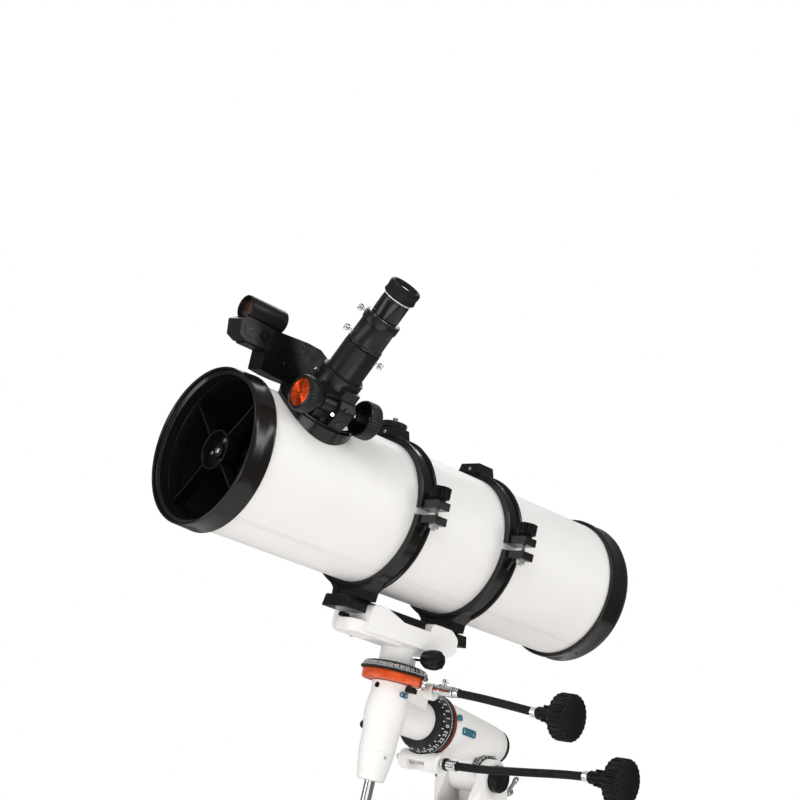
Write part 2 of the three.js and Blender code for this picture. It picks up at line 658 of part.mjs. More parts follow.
const SPIDER_AT = 300;
const makeSpider = (parent) => {
  const hub = sleeve(13, 22, SPIDER_AT - 6, SPIDER_AT + 12, 'z', 20);
  const web = rod(14, SPIDER_AT - 6, SPIDER_AT, 'z', 14);
  const stalk = rod(6, SPIDER_AT - 34, SPIDER_AT - 2, 'z', 10);
  const holder = turned(
    [[0, 242.5], [14, 242.5], [16, 246], [16, SPIDER_AT - 30], [0, SPIDER_AT - 30]], 'z', 16,
  );
  const vanes = VANE_ANGLES.map((angle) =>
    block([20, TUBE_INNER_R - GAP], [-1.1, 1.1], [SPIDER_AT - 4, SPIDER_AT + 12]).rotateZ(rad(angle)));
  piece(parent, 'spider', join(hub, web, stalk, holder, ...vanes), gloss);
};

// The flat, at 45 degrees, sends the light out along the focuser.
const makeSecondary = (parent) => {
  const length = 30;
  const cylinder = rod(15.5, -length, length, 'z', 20);
  const slab = block([-40, 40], [-40, 40], [-3, 3]).rotateX(rad(45));
  const flat = common(cylinder, slab).rotateZ(rad(-FOCUSER_LEAN_DEG));
  piece(parent, 'secondary_mirror', flat.translate(0, 0, FOCUSER_AT - 12), mirror);
};

const makeRearCell = (parent) => {
  const [back, front] = REAR_CELL;
  const collar = TUBE_R + GAP;
  piece(parent, 'rear_cell', turned(
    [[0, back], [82, back], [86.5, back + 8], [87, front], [collar, front], [collar, TUBE_BACK - GAP],
      [70, TUBE_BACK - GAP], [70, -222], [65.3, -222], [65.3, -238.3], [0, -238.3]],
    'z', 40,
  ), gloss);
  const glass = turned([[0, -238], [65, -238], [65, -218], [0, -220.4]], 'z', 28);
  piece(parent, 'primary_mirror', glass, mirror);
};

makeTube(optics);
makeFrontCell(optics);
makeSpider(optics);
makeSecondary(optics);
makeRearCell(optics);

// ---- Focuser: Y points out of the tube, X to the eyepiece side's lower edge, Z forward -------
const PINION = { x: 22, y: 108 };
const DRAWTUBE = { r: 21, inner: 19.4, from: 62, to: 174 };

const throatProfile = (margin) =>
  [[34, 70], [30, 96], [26, 104], [24.6, 137]].map(([r, y]) => [r + margin, y]);
const makeFocuser = (parent) => {
  const aroundTube = rod(TUBE_R + GAP, -80, 80, 'z', 40);
  const flange = cut(
    alongAxis(plate(new THREE.Shape().absellipse(0, 0, 42, 48, 0, 2 * Math.PI), 60, 86, 18), 'y'),
    aroundTube,
  );
  const throat = turned([[0, 70], ...throatProfile(0), [0, 137]], 'y', 20);
  const pinionBody = rod(13, -27, 27, 'z', 14).translate(PINION.x, PINION.y, 0);
  const pinionFoot = block([8, PINION.x + 13], [80, PINION.y], [-27, 27]);
  const housing = cut(
    join(flange, cut(join(throat, pinionBody, pinionFoot), aroundTube)),
    rod(DRAWTUBE.r + 0.5, 40, 200, 'y', 20),
    rod(3.6, -60, 60, 'z', 10).translate(PINION.x + 6, PINION.y, 0),
  );
  piece(parent, 'focuser_base', housing, satin);
  const { r, inner, from, to } = DRAWTUBE;
  piece(parent, 'drawtube', sleeve(inner, r, from, to, 'y', 20), satin);
  const knobs = join(
    rod(3, -46, 54, 'z', 10),
    flutedKnob(21, -47, -30, 'z', 20, 0.8),
    flutedKnob(20, 38, 54, 'z', 20, 0.8),
    rod(15.5, 53, 56, 'z', 16),
  ).translate(PINION.x + 6, PINION.y, 0);
  piece(parent, 'focus_knobs', knobs, satin);
  const adapter = turned(
    [[16.2, to + GAP], [20.6, to + GAP], [19.4, 180], [19.4, 200], [20.5, 202], [20.5, 211.6],
      [16.2, 211.6], [16.2, to + GAP]],
    'y', 20,
  );
  piece(parent, 'eyepiece_adapter', adapter, satin);
};

const makeEyepiece = (parent) => {
  const barrel = turned(
    [[0, 186], [15.8, 186], [15.8, 212], [16, 212.2], [16, 237], [18.6, 240.5], [18.5, 250],
      [16.5, 253], [10, 252], [8, 248], [0, 247]],
    'y', 20,
  );
  piece(parent, 'eyepiece', barrel, rubber);
};

const focuser = focuserFrame(optics);
makeFocuser(focuser);
makeEyepiece(focuser);

// ---- Finder ----------------------------------------------------------------------------------
const finder = groupIn(optics, [0, 0, 0], [0, 0, -FINDER_LEAN_DEG]);
const makeFinder = (parent) => {
  const outline = new THREE.Shape();
  outline.moveTo(208, 96);
  outline.lineTo(246, 95);
  outline.lineTo(275, 94);
  outline.lineTo(296, 96);
  outline.lineTo(297.5, 117.5);
  outline.lineTo(324, 117.7);
  outline.lineTo(334, 122);
  outline.lineTo(337.5, 138.5);
  outline.lineTo(329, 144);
  outline.lineTo(293, 142);
  outline.lineTo(245, 144.5);
  outline.lineTo(227, 143.5);
  outline.lineTo(206, 132);
  const body = sidePlate(outline, -12, 12);
  const clear = join(
    rod(TUBE_R + 13, 245, 320, 'z', 32),
    rod(TUBE_R + GAP, 150, 330, 'z', 40),
  );
  const throatClear = turned([[0, 60], [35.2, 60], ...throatProfile(1.2), [25.8, 260], [0, 260]], 'y', 20)
    .rotateZ(rad(FINDER_LEAN_DEG - FOCUSER_LEAN_DEG))
    .translate(0, 0, FOCUSER_AT);
  const sightClear = rod(14.6, 260, 360, 'z', 20).translate(0, 154, 0);
  const bracket = cut(body, clear, throatClear, sightClear);
  piece(parent, 'finder_bracket', bracket, gloss);
  const sight = cut(
    rod(14, 279, 330, 'z', 20),
    rod(12, 284, 340, 'z', 16),
    rod(5, 270, 300, 'z', 10),
  ).translate(0, 154, 0);
  piece(parent, 'finder_tube', sight, gloss);
};
makeFinder(finder);

// The origin is on the floor, below the middle of the whole.
const bounds = new THREE.Box3().setFromObject(telescope);
telescope.position.set(-(bounds.min.x + bounds.max.x) / 2, -(bounds.min.y + bounds.max.y) / 2, 0);

export default telescope;
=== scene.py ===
"""Looks for a reflector telescope on an equatorial mount and tripod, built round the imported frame."""

import json
import math

import bmesh
import bpy
from mathutils import Matrix, Vector


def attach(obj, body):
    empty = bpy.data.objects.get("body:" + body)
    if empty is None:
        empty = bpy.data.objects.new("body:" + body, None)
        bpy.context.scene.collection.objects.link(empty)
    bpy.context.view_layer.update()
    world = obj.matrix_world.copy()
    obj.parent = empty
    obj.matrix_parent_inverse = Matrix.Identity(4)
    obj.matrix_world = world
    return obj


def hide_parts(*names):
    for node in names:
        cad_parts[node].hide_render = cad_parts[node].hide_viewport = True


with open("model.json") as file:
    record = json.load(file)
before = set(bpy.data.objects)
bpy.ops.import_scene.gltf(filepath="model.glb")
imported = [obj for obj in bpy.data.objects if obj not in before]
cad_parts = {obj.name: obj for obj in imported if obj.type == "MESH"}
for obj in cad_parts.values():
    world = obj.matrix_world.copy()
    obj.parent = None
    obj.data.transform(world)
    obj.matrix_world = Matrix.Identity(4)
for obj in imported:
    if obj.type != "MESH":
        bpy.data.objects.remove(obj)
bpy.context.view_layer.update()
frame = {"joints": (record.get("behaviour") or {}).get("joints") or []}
joints = {joint["name"]: joint for joint in frame["joints"]}

MM = 0.001
ROUND = 96  # sides of a full turn
CREASE = math.radians(32)
EAST, NORTH, UP = Vector((1, 0, 0)), Vector((0, 1, 0)), Vector((0, 0, 1))


# ---- Places: frames in millimetres, taken from the joints -----------------------------------
def joint_axis(name):
    return Vector(joints[name]["axis"]).normalized()


def joint_place(name):
    return Vector(joints[name]["pos_m"])


def place(origin, x, y, z):
    turn = Matrix((x, y, z)).transposed().to_4x4()
    return Matrix.Translation(origin) @ turn @ Matrix.Scale(MM, 4)


def shift(x=0, y=0, z=0):
    return Matrix.Translation((x, y, z))


def spin(degrees, axis="Z"):
    return Matrix.Rotation(math.radians(degrees), 4, axis)


polar_axis = joint_axis("right_ascension_turn")
dec_axis = joint_axis("declination_turn")
tube_axis = joint_axis("tube_roll")
lateral = joint_axis("saddle_knob_turn")
crossing = joint_place("right_ascension_turn")
tube_centre = joint_place("tube_roll")
BASE = place(joint_place("latitude_tilt"), EAST, NORTH, UP)
POLAR = place(crossing, EAST, dec_axis, polar_axis)
HEAD = place(crossing, lateral, dec_axis, tube_axis)
OPTICS = place(tube_centre, lateral, dec_axis, tube_axis)
FOCUS_AT, FOCUS_LEAN, FINDER_LEAN = 232, 37, 5.6
FOCUSER = OPTICS @ shift(z=FOCUS_AT) @ spin(-FOCUS_LEAN)
FINDER = OPTICS @ spin(-FINDER_LEAN)
POLAR_ALTITUDE = math.degrees(math.asin(polar_axis.z))
FLOOR = place(Vector((0, joint_place("azimuth_turn").y, 0)), EAST, NORTH, UP)


# ---- Shapes, in millimetres -----------------------------------------------------------------
TURNS = {"z": Matrix.Identity(4), "x": spin(90, "Y"), "y": spin(-90, "X")}


def from_rings(rings, closed=False, caps=False):
    """Rings of points joined into walls; a ring of one point is a pole. Closed joins the last ring
    to the first, and caps closes the two end rings."""
    shape = bmesh.new()
    made = [[shape.verts.new(point) for point in ring] for ring in rings]
    count = max(len(ring) for ring in rings)
    pairs = list(zip(made, made[1:])) + ([(made[-1], made[0])] if closed else [])
    for low, high in pairs:
        for i in range(count):
            j = (i + 1) % count
            corners = [low[i % len(low)], low[j % len(low)], high[j % len(high)], high[i % len(high)]]
            corners = list(dict.fromkeys(corners))
            if len(corners) > 2:
                shape.faces.new(corners)
    if caps:
        shape.faces.new(made[0][::-1])
        shape.faces.new(made[-1])
    return shape


def turned(profile, axis="z", steps=ROUND, flutes=0, depth=0.0, ends="axis"):
    """A profile of (radius, place on the axis[, share of the flutes' depth]) turned round an axis.
    Its ends are closed on the axis, "joined" to each other, or left "open"."""
    if ends == "axis":
        start, end = profile[0], profile[-1]
        profile = [(0, start[1])] * (start[0] > 0) + profile + [(0, end[1])] * (end[0] > 0)
    rings = []
    for radius, height, *share in profile:
        if radius < 1e-6:
            rings.append([(0, 0, height)])
            continue
        ring = []
        for i in range(steps):
            angle = 2 * math.pi * i / steps
            dip = (share[0] if share else 0) * depth * (0.5 - 0.5 * math.cos(angle * flutes))
            ring.append(((radius - dip) * math.cos(angle), (radius - dip) * math.sin(angle), height))
        rings.append(ring)
    shape = from_rings(rings, closed=ends == "joined")
    shape.transform(TURNS[axis])
    return shape


def rod(radius, start, end, axis="z", steps=48, chamfer=0.0):
    c = min(chamfer, radius * 0.4)
    profile = [(radius, start), (radius, end)]
    if c:
        profile = [(radius - c, start), (radius, start + c), (radius, end - c), (radius - c, end)]
    return turned(profile, axis, steps)


def sleeve(inner, outer, start, end, axis="z", steps=ROUND):
    return turned([(inner, start), (outer, start), (outer, end), (inner, end)], axis, steps, ends="joined")


def fluted(radius, start, end, axis, flutes, depth, chamfer=0.8, dish=0.0):
    """A knob with scalloped sides, chamfered ends and, on request, a dished front."""
    profile = [(radius - chamfer, start, 0.4), (radius, start + chamfer, 1), (radius, end - chamfer, 1),
        (radius - chamfer, end, 0.4)]
    if dish:
        rim = radius - depth - chamfer - 1.2
        profile += [(rim, end), (rim - 0.6, end - dish)]
    return turned(profile, axis, flutes * 8, flutes, depth)


def block(x, y, z):
    ring = ((0, 0), (1, 0), (1, 1), (0, 1))
    return from_rings([[(x[i], y[j], z[k]) for i, j in ring] for k in (0, 1)], caps=True)


def plate(outline, start, end, plane="xy"):
    """An outline in the named plane, pushed along the third axis."""
    put = {
        "xy": lambda a, b, c: (a, b, c),
        "zy": lambda a, b, c: (c, b, a),
        "yz": lambda a, b, c: (c, a, b),
        "xz": lambda a, b, c: (a, c, b),
    }[plane]
    return from_rings([[put(a, b, c) for a, b in outline] for c in (start, end)], caps=True)


def rounded(corners, steps=6):
    """An outline whose corners, given as (x, y, radius), are replaced by arcs."""
    outline = []
    for i, (x, y, radius) in enumerate(corners):
        here = Vector((x, y))
        before = Vector(corners[i - 1][:2]) - here
        after = Vector(corners[(i + 1) % len(corners)][:2]) - here
        half = before.angle(after) / 2
        reach = min(radius / math.tan(half), before.length * 0.49, after.length * 0.49)
        if radius <= 0 or abs(half - math.pi / 2) < 0.01:
            outline.append((x, y))
            continue
        a, b = before.normalized() * reach, after.normalized() * reach
        for k in range(steps + 1):
            t = k / steps
            point = here + a * (1 - t) ** 2 + b * t ** 2
            outline.append((point.x, point.y))
    return outline


def ellipse(a, b, steps=ROUND):
    turn = [2 * math.pi * i / steps for i in range(steps)]
    return [(a * math.cos(t), b * math.sin(t)) for t in turn]


def band(section, start, end, steps=72):
    """A closed section of (radius, place along the tube) swept from one angle to another, measured
    from the top of the tube towards the eyepiece side, with closed ends."""
    rings = []
    for i in range(steps + 1):
        angle = math.radians(start + (end - start) * i / steps)
        rings.append([(r * math.sin(angle), r * math.cos(angle), s) for r, s in section])
    return from_rings(rings, caps=True)


def worm(radius, depth, pitch, start, end, axis):
    """A rod with a screw thread cut in it."""
    rows, steps = int((end - start) / pitch * 10), 40
    rings = [[(0, 0, start)]]
    for k in range(rows + 1):
        z = start + (end - start) * k / rows
        fade = min(1.0, k / 6, (rows - k) / 6)
        ring = []
        for i in range(steps):
            angle = 2 * math.pi * i / steps
            r = radius - depth * fade * (0.5 + 0.5 * math.cos(angle - 2 * math.pi * z / pitch))
            ring.append((r * math.cos(angle), r * math.sin(angle), z))
        rings.append(ring)
    rings.append([(0, 0, end)])
    shape = from_rings(rings)
    shape.transform(TURNS[axis])
    return shape


def hose(points, radius, steps=24, rows=80, wave=0.0, waves=0):
    """A round sheath along a smooth route, with a faint ripple from the spring inside it."""
    spots = [Vector(p) for p in points]
    spots = [spots[0] * 2 - spots[1]] + spots + [spots[-1] * 2 - spots[-2]]
    path = []
    for i in range(1, len(spots) - 2):
        a, b, c, d = spots[i - 1:i + 3]
        for k in range(rows):
            t = k / rows
            bend, twist = 2 * a - 5 * b + 4 * c - d, 3 * b - a - 3 * c + d
            path.append(0.5 * (2 * b + (c - a) * t + bend * t ** 2 + twist * t ** 3))
    path.append(spots[-2])
    rings = [[path[0]]]
    for i, point in enumerate(path):
        ahead = (path[min(i + 1, len(path) - 1)] - path[max(i - 1, 0)]).normalized()
        side = ahead.cross(UP).normalized()
        top = side.cross(ahead)
        r = radius - wave * (0.5 + 0.5 * math.cos(2 * math.pi * waves * i / len(path)))
        turn = [2 * math.pi * j / steps for j in range(steps)]
        rings.append([point + side * r * math.cos(t) + top * r * math.sin(t) for t in turn])
    rings.append([path[-1]])
    return from_rings(rings)


def together(*shapes):
    """Several shapes in one mesh."""
    whole = bmesh.new()
    for shape in shapes:
        bmesh.ops.recalc_face_normals(shape, faces=shape.faces)
        mesh = bpy.data.meshes.new("part")
        shape.to_mesh(mesh)
        shape.free()
        whole.from_mesh(mesh)
        bpy.data.meshes.remove(mesh)
    return whole


def moved(shape, *steps):
    for step in steps:
        shape.transform(step)
    return shape


def copies(shape, places):
    """The shape repeated at each place."""
    made = []
    for where in places:
        other = shape.copy()
        other.transform(where)
        made.append(other)
    shape.free()
    return together(*made)


def carved(operation, shape, *tools):
    """Boolean work on closed shapes: DIFFERENCE, UNION or INTERSECT."""
    scene = bpy.context.scene
    made = []
    for part in (shape, *tools):
        bmesh.ops.remove_doubles(part, verts=part.verts, dist=1e-4)
        bmesh.ops.recalc_face_normals(part, faces=part.faces)
        mesh = bpy.data.meshes.new("carved")
        part.to_mesh(mesh)
        part.free()
        obj = bpy.data.objects.new("carved", mesh)
        scene.collection.objects.link(obj)
        made.append(obj)
    for tool in made[1:]:
        change = made[0].modifiers.new("carve", "BOOLEAN")
        change.operation, change.object, change.solver = operation, tool, "MANIFOLD"
    done = made[0].evaluated_get(bpy.context.evaluated_depsgraph_get()).to_mesh()
    result = bmesh.new()
    result.from_mesh(done)
    for obj in made:
        mesh = obj.data
        bpy.data.objects.remove(obj)
        bpy.data.meshes.remove(mesh)
    return result


def cut(shape, *tools):
    return carved("DIFFERENCE", shape, *tools)


def joined(shape, *others):
    return carved("UNION", shape, *others)


def lettering(text, size, thick=0.16):
    curve = bpy.data.curves.new("lettering", "FONT")
    curve.body, curve.size, curve.extrude = text, size, thick / 2
    curve.align_x, curve.align_y = "CENTER", "CENTER"
    curve.resolution_u = 2
    holder = bpy.data.objects.new("lettering", curve)
    bpy.context.scene.collection.objects.link(holder)
    mesh = holder.evaluated_get(bpy.context.evaluated_depsgraph_get()).to_mesh()
    shape = bmesh.new()
    shape.from_mesh(mesh)
    bpy.data.objects.remove(holder)
    bpy.data.curves.remove(curve)
    return shape


def screw_head(radius, height, recess=True):
    """A domed head standing on the XY plane, with a cross recess."""
    dome = turned([(radius, -0.4), (radius, height * 0.35), (radius * 0.86, height * 0.75),
        (radius * 0.5, height * 0.97), (0, height)], steps=28)
    if not recess:
        return dome
    arm, width, low = radius * 0.58, radius * 0.15, height * 0.45
    return cut(dome, block((-arm, arm), (-width, width), (low, height + 1)), block((-width, width),
        (-arm, arm), (low, height + 1)))


def socket_head(radius, height):
    """A cap screw standing on the XY plane, with a hexagonal recess."""
    body = turned([(radius, -0.4), (radius, height - 0.3), (radius - 0.3, height)], steps=32)
    return cut(body, rod(radius * 0.5, height * 0.35, height + 1, steps=6))


def facing(x, y, z, outward):
    """A place at a point, its Z along outward."""
    return shift(x, y, z) @ Vector(outward).to_track_quat("Z", "Y").to_matrix().to_4x4()


def on_tube(radius, angle, s):
    """A place on a cylinder round the tube's axis, its Z out of the surface."""
    t = math.radians(angle)
    out = (math.sin(t), math.cos(t), 0)
    return facing(radius * out[0], radius * out[1], s, out)


# ---- Materials ------------------------------------------------------------------------------
def nodes_of(name):
    material = bpy.data.materials.new(name)
    material.use_nodes = True
    tree = material.node_tree
    return material, tree, tree.nodes["Principled BSDF"]


def noise(tree, scale, detail=3.0, stretch=None, roughness=0.55):
    where = tree.nodes.new("ShaderNodeTexCoord").outputs["Object"]
    if stretch:
        mapping = tree.nodes.new("ShaderNodeMapping")
        mapping.inputs["Scale"].default_value = stretch
        tree.links.new(where, mapping.inputs["Vector"])
        where = mapping.outputs["Vector"]
    texture = tree.nodes.new("ShaderNodeTexNoise")
    texture.inputs["Scale"].default_value = scale
    texture.inputs["Detail"].default_value = detail
    texture.inputs["Roughness"].default_value = roughness
    tree.links.new(where, texture.inputs["Vector"])
    return texture.outputs["Fac"]


def ramp(tree, source, low, high):
    """The source spread over 0.3 to 0.7 becomes a range of values or of colours."""
    stops = tree.nodes.new("ShaderNodeValToRGB")
    tree.links.new(source, stops.inputs["Fac"])
    for stop, at, value in zip(stops.color_ramp.elements, (0.3, 0.7), (low, high)):
        stop.position = at
        stop.color = (*value, 1) if isinstance(value, tuple) else (value, value, value, 1)
    return stops.outputs["Color"]


def bump(tree, source, strength, distance, shader):
    node = tree.nodes.new("ShaderNodeBump")
    node.inputs["Strength"].default_value = strength
    node.inputs["Distance"].default_value = distance
    tree.links.new(source, node.inputs["Height"])
    tree.links.new(node.outputs["Normal"], shader.inputs["Normal"])


def finish_of(name, dark, light, rough, grain, metal=0.0, coat=0.0, specular=0.5, stretch=None, blotch=18,
        depth=0.15):
    """A procedural finish: two tones in soft blotches, uneven gloss, and fine grain in relief.
    grain is (scale, strength); rough is (lowest, highest)."""
    material, tree, shader = nodes_of(name)
    shader.inputs["Metallic"].default_value = metal
    shader.inputs["Coat Weight"].default_value = coat
    shader.inputs["Coat Roughness"].default_value = 0.08
    shader.inputs["Specular IOR Level"].default_value = specular
    tone = ramp(tree, noise(tree, blotch, 4, stretch), dark, light)
    tree.links.new(tone, shader.inputs["Base Color"])
    gloss = ramp(tree, noise(tree, blotch * 6, 5, stretch), rough[0], rough[1])
    tree.links.new(gloss, shader.inputs["Roughness"])
    bump(tree, noise(tree, grain[0], 2, stretch), grain[1], depth * MM, shader)
    return material


def grey(value, tint=(1, 1, 1)):
    return tuple(value * t for t in tint)


WARM, COOL = (1.0, 0.985, 0.965), (0.97, 0.99, 1.0)
tube_white = finish_of("tube_white", grey(0.88, WARM), grey(0.90, WARM), (0.38, 0.42), (900, 0.003),
    specular=0.35)
cast_white = finish_of("cast_white", grey(0.88, WARM), grey(0.90, WARM), (0.38, 0.42), (700, 0.012),
    specular=0.35)
gloss_black = finish_of("gloss_black", (0.006, 0.005, 0.0045), (0.010, 0.008, 0.007), (0.14, 0.24),
    (900, 0.02), specular=0.4)
moulded_black = finish_of("moulded_black", grey(0.0035), grey(0.0065), (0.28, 0.4), (1600, 0.08),
    specular=0.17)
satin_black = finish_of("satin_black", grey(0.007, WARM), grey(0.011, WARM), (0.28, 0.36), (2600, 0.05),
    specular=0.32)
matte_black = finish_of("matte_black", grey(0.003), grey(0.006), (0.75, 0.9), (900, 0.15), specular=0.12)
rubber_black = finish_of("rubber_black", grey(0.005), grey(0.010), (0.42, 0.6), (1800, 0.15), specular=0.2)
chrome = finish_of("chrome", grey(0.78, COOL), grey(0.88, COOL), (0.06, 0.14), (300, 0.02), metal=1)
bolt_steel = finish_of("bolt_steel", grey(0.5), grey(0.62, WARM), (0.2, 0.34), (1500, 0.1), metal=1)
dark_steel = finish_of("dark_steel", grey(0.05), grey(0.10), (0.24, 0.36), (1500, 0.1), metal=1)
leg_steel = finish_of("leg_steel", grey(0.60, COOL), grey(0.70, COOL), (0.20, 0.30), (260, 0.05), metal=1,
    stretch=(6, 6, 0.4))
orange = finish_of("orange", (0.62, 0.07, 0.010), (0.90, 0.15, 0.028), (0.24, 0.4), (600, 0.12), metal=0.15,
    coat=0.35, blotch=60)
ember = finish_of("ember", (0.55, 0.045, 0.006), (0.95, 0.13, 0.02), (0.2, 0.32), (900, 0.1), metal=0.85,
    blotch=90)
dark_red = finish_of("dark_red", (0.16, 0.010, 0.006), (0.26, 0.022, 0.010), (0.2, 0.35), (600, 0.1),
    metal=0.5, coat=0.3)
teal = finish_of("teal", (0.010, 0.10, 0.15), (0.03, 0.20, 0.27), (0.2, 0.3), (500, 0.05), coat=0.6,
    blotch=120)
ink_white = finish_of("ink_white", grey(0.80), grey(0.88), (0.35, 0.5), (900, 0.05))
seam_grey = finish_of("seam_grey", grey(0.30, WARM), grey(0.42, WARM), (0.5, 0.6), (900, 0.05), blotch=400)
silver = finish_of("silver", grey(0.62, COOL), grey(0.74, COOL), (0.16, 0.3), (1200, 0.08), metal=1)
mirror_coat = finish_of("mirror_coat", grey(0.86, COOL), grey(0.9, COOL), (0.01, 0.03), (50, 0.0), metal=1)
amber_glass = finish_of("amber_glass", (0.030, 0.010, 0.005), (0.075, 0.022, 0.010), (0.03, 0.08),
    (50, 0.0), coat=1, blotch=60)
dark_glass = finish_of("dark_glass", (0.004, 0.004, 0.010), (0.022, 0.006, 0.014), (0.02, 0.05), (50, 0.0),
    coat=1, blotch=60)


GLOSS, SATIN = "black_gloss_plastic", "black_satin_metal"  # slots of the CAD


# ---- Pieces ---------------------------------------------------------------------------------
def piece(name, shape, where, look, body, slot=None, node=None, bevel=0):
    """A finished object: shape in millimetres at its place, riding on a body, with the CAD node it stands
    for.
    slot, the CAD slot it shows, is not used."""
    bmesh.ops.remove_doubles(shape, verts=shape.verts, dist=1e-3)
    bmesh.ops.recalc_face_normals(shape, faces=shape.faces)
    shape.transform(where)
    for edge in shape.edges:
        edge.smooth = len(edge.link_faces) != 2 or edge.calc_face_angle(0) < CREASE
    for face in shape.faces:
        face.smooth = True
    mesh = bpy.data.meshes.new(name)
    shape.to_mesh(mesh)
    shape.free()
    for material in (look if isinstance(look, tuple) else (look,)):
        mesh.materials.append(material)
    obj = bpy.data.objects.new(name, mesh)
    bpy.context.scene.collection.objects.link(obj)
    if bevel:
        soften(obj, bevel)
    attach(obj, body)
    if node:
        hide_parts(node)


def on(where, body):
    """A maker of the pieces that share a place and a body."""
    return lambda name, shape, look, *rest, **more: piece(name, shape, where, look, body, *rest, **more)


def soften(obj, width):
    edge = obj.modifiers.new("edges", "BEVEL")
    edge.width, edge.segments = width * MM, 2
    edge.limit_method, edge.angle_limit = "ANGLE", CREASE
    edge.harden_normals = True


# ---- Optical tube ---------------------------------------------------------------------------
TUBE_R, TUBE_INNER = 82.5, 81.3
TUBE_ENDS = (-240, 322)
SEAM_AT, SEAM_GAP = 146.5, 2.6


def make_tube():
    """The shell has a lengthwise lap seam: two fine grooves in its outer face."""
    outer = []
    grooves = (SEAM_AT, SEAM_AT + SEAM_GAP)
    angles = [i * 2.0 for i in range(180)]
    for groove in grooves:
        angles = [a for a in angles if abs(a - groove) > 0.45]
        angles += [groove - 0.26, groove - 0.13, groove + 0.13, groove + 0.26]
    for angle in sorted(angles):
        deep = any(abs(angle - groove) < 0.2 for groove in grooves)
        outer.append((math.radians(angle), TUBE_R - (0.3 if deep else 0)))
    low, high = TUBE_ENDS
    rings = []
    for radius, s in ((None, low), (None, high), (TUBE_INNER, high), (TUBE_INNER, low)):
        rings.append([((radius or r) * math.sin(a), (radius or r) * math.cos(a), s) for a, r in outer])
    shell = from_rings(rings, True)
    for face in shell.faces:
        middle = face.calc_center_median()
        angle = math.degrees(math.atan2(middle.x, middle.y))
        seam = any(abs(angle - groove) < 0.1 for groove in grooves)
        face.material_index = 1 if math.hypot(middle.x, middle.y) < 82.1 else 2 if seam else 0
    hole = moved(rod(23, 60, 100, "y"), spin(-FOCUS_LEAN), shift(z=FOCUS_AT))
    piece("tube_shell", cut(shell, hole), OPTICS, (tube_white, matte_black, seam_grey), "tube",
        "white_paint", "tube")


def make_front_cell():
    rim = turned([(82.75, 301), (87.9, 301), (88.4, 301.6), (88.4, 303.4), (88.1, 304.2), (87.9, 314),
        (87.5, 323), (87.4, 327.2), (86.9, 328.5), (86.0, 329), (85.0, 328.8), (84.5, 328), (84.3, 326),
        (83.9, 324.6), (81.2, 322.8), (80.2, 322.3), (82.75, 322.2)], steps=160, ends="joined")
    to_tube = on(OPTICS, "tube")
    to_tube("front_cell_rim", rim, gloss_black, GLOSS, "front_cell", 0.25)
    heads = [on_tube(88.3, angle + side, 304.4) for angle in (34, 124, 214, 304) for side in (-2.2, 2.2)]
    to_tube("front_cell_screws", copies(screw_head(1.6, 0.8), heads), dark_steel)


HUB_FRONT = 313


def make_spider():
    ring = turned([(78.9, 296), (81.1, 296), (81.1, 312), (79.4, 312), (78.7, 310.5)], steps=128,
        ends="joined")
    hub = turned([(22, 298), (22.4, 300), (22.4, HUB_FRONT - 0.8), (21.8, HUB_FRONT), (20.4, HUB_FRONT),
        (20, HUB_FRONT - 0.6), (19.8, 303), (7.5, 303), (7, 307.5), (5.8, 308.2)], steps=72)
    vanes = []
    for angle in (45, 135, 225, 315):
        blade = plate([(21.5, 297), (79.5, 296), (79.5, 311.5), (60, 310), (21.5, 311)], -0.9, 0.9, "xz")
        bead = plate([(21.5, 309.6), (60, 308.6), (79.5, 310.1), (79.5, 311.9), (60, 310.4), (21.5, 311.4)],
            -1.3, 1.3, "xz")
        foot = block((75, 79.3), (-3.4, 3.4), (297, 310))
        vanes += [moved(part, spin(angle)) for part in (blade, bead, foot)]
    stalk = rod(6, 266, 300)
    holder = turned([(13, 243), (14.5, 244), (15.6, 247), (15.6, 268), (14.6, 269.5), (9, 270), (8.4, 274)],
        steps=48)
    to_tube = on(OPTICS, "tube")
    to_tube("spider_frame", together(ring, hub, stalk, holder, *vanes), moulded_black, GLOSS, "spider",
        0.25)
    to_tube("spider_centre_screw", moved(screw_head(3.4, 1.6), shift(z=308)), bolt_steel)
    spots = [shift(13.2 * math.cos(t), 13.2 * math.sin(t), 303) for t in (1.15, 3.25, 5.35)]
    to_tube("spider_tilt_screws", copies(socket_head(2.5, 3.4), spots), bolt_steel)
    flat = cut(turned([(15.4, -30), (15.4, 30)], steps=64), moved(block((-40, 40), (-40, 40), (-70, -2.6)),
        spin(45, "X")), moved(block((-40, 40), (-40, 40), (2.6, 70)), spin(45, "X")))
    to_tube("secondary_flat", moved(flat, spin(-FOCUS_LEAN), shift(z=FOCUS_AT - 12)), mirror_coat, "mirror",
        "secondary_mirror", 0.4)


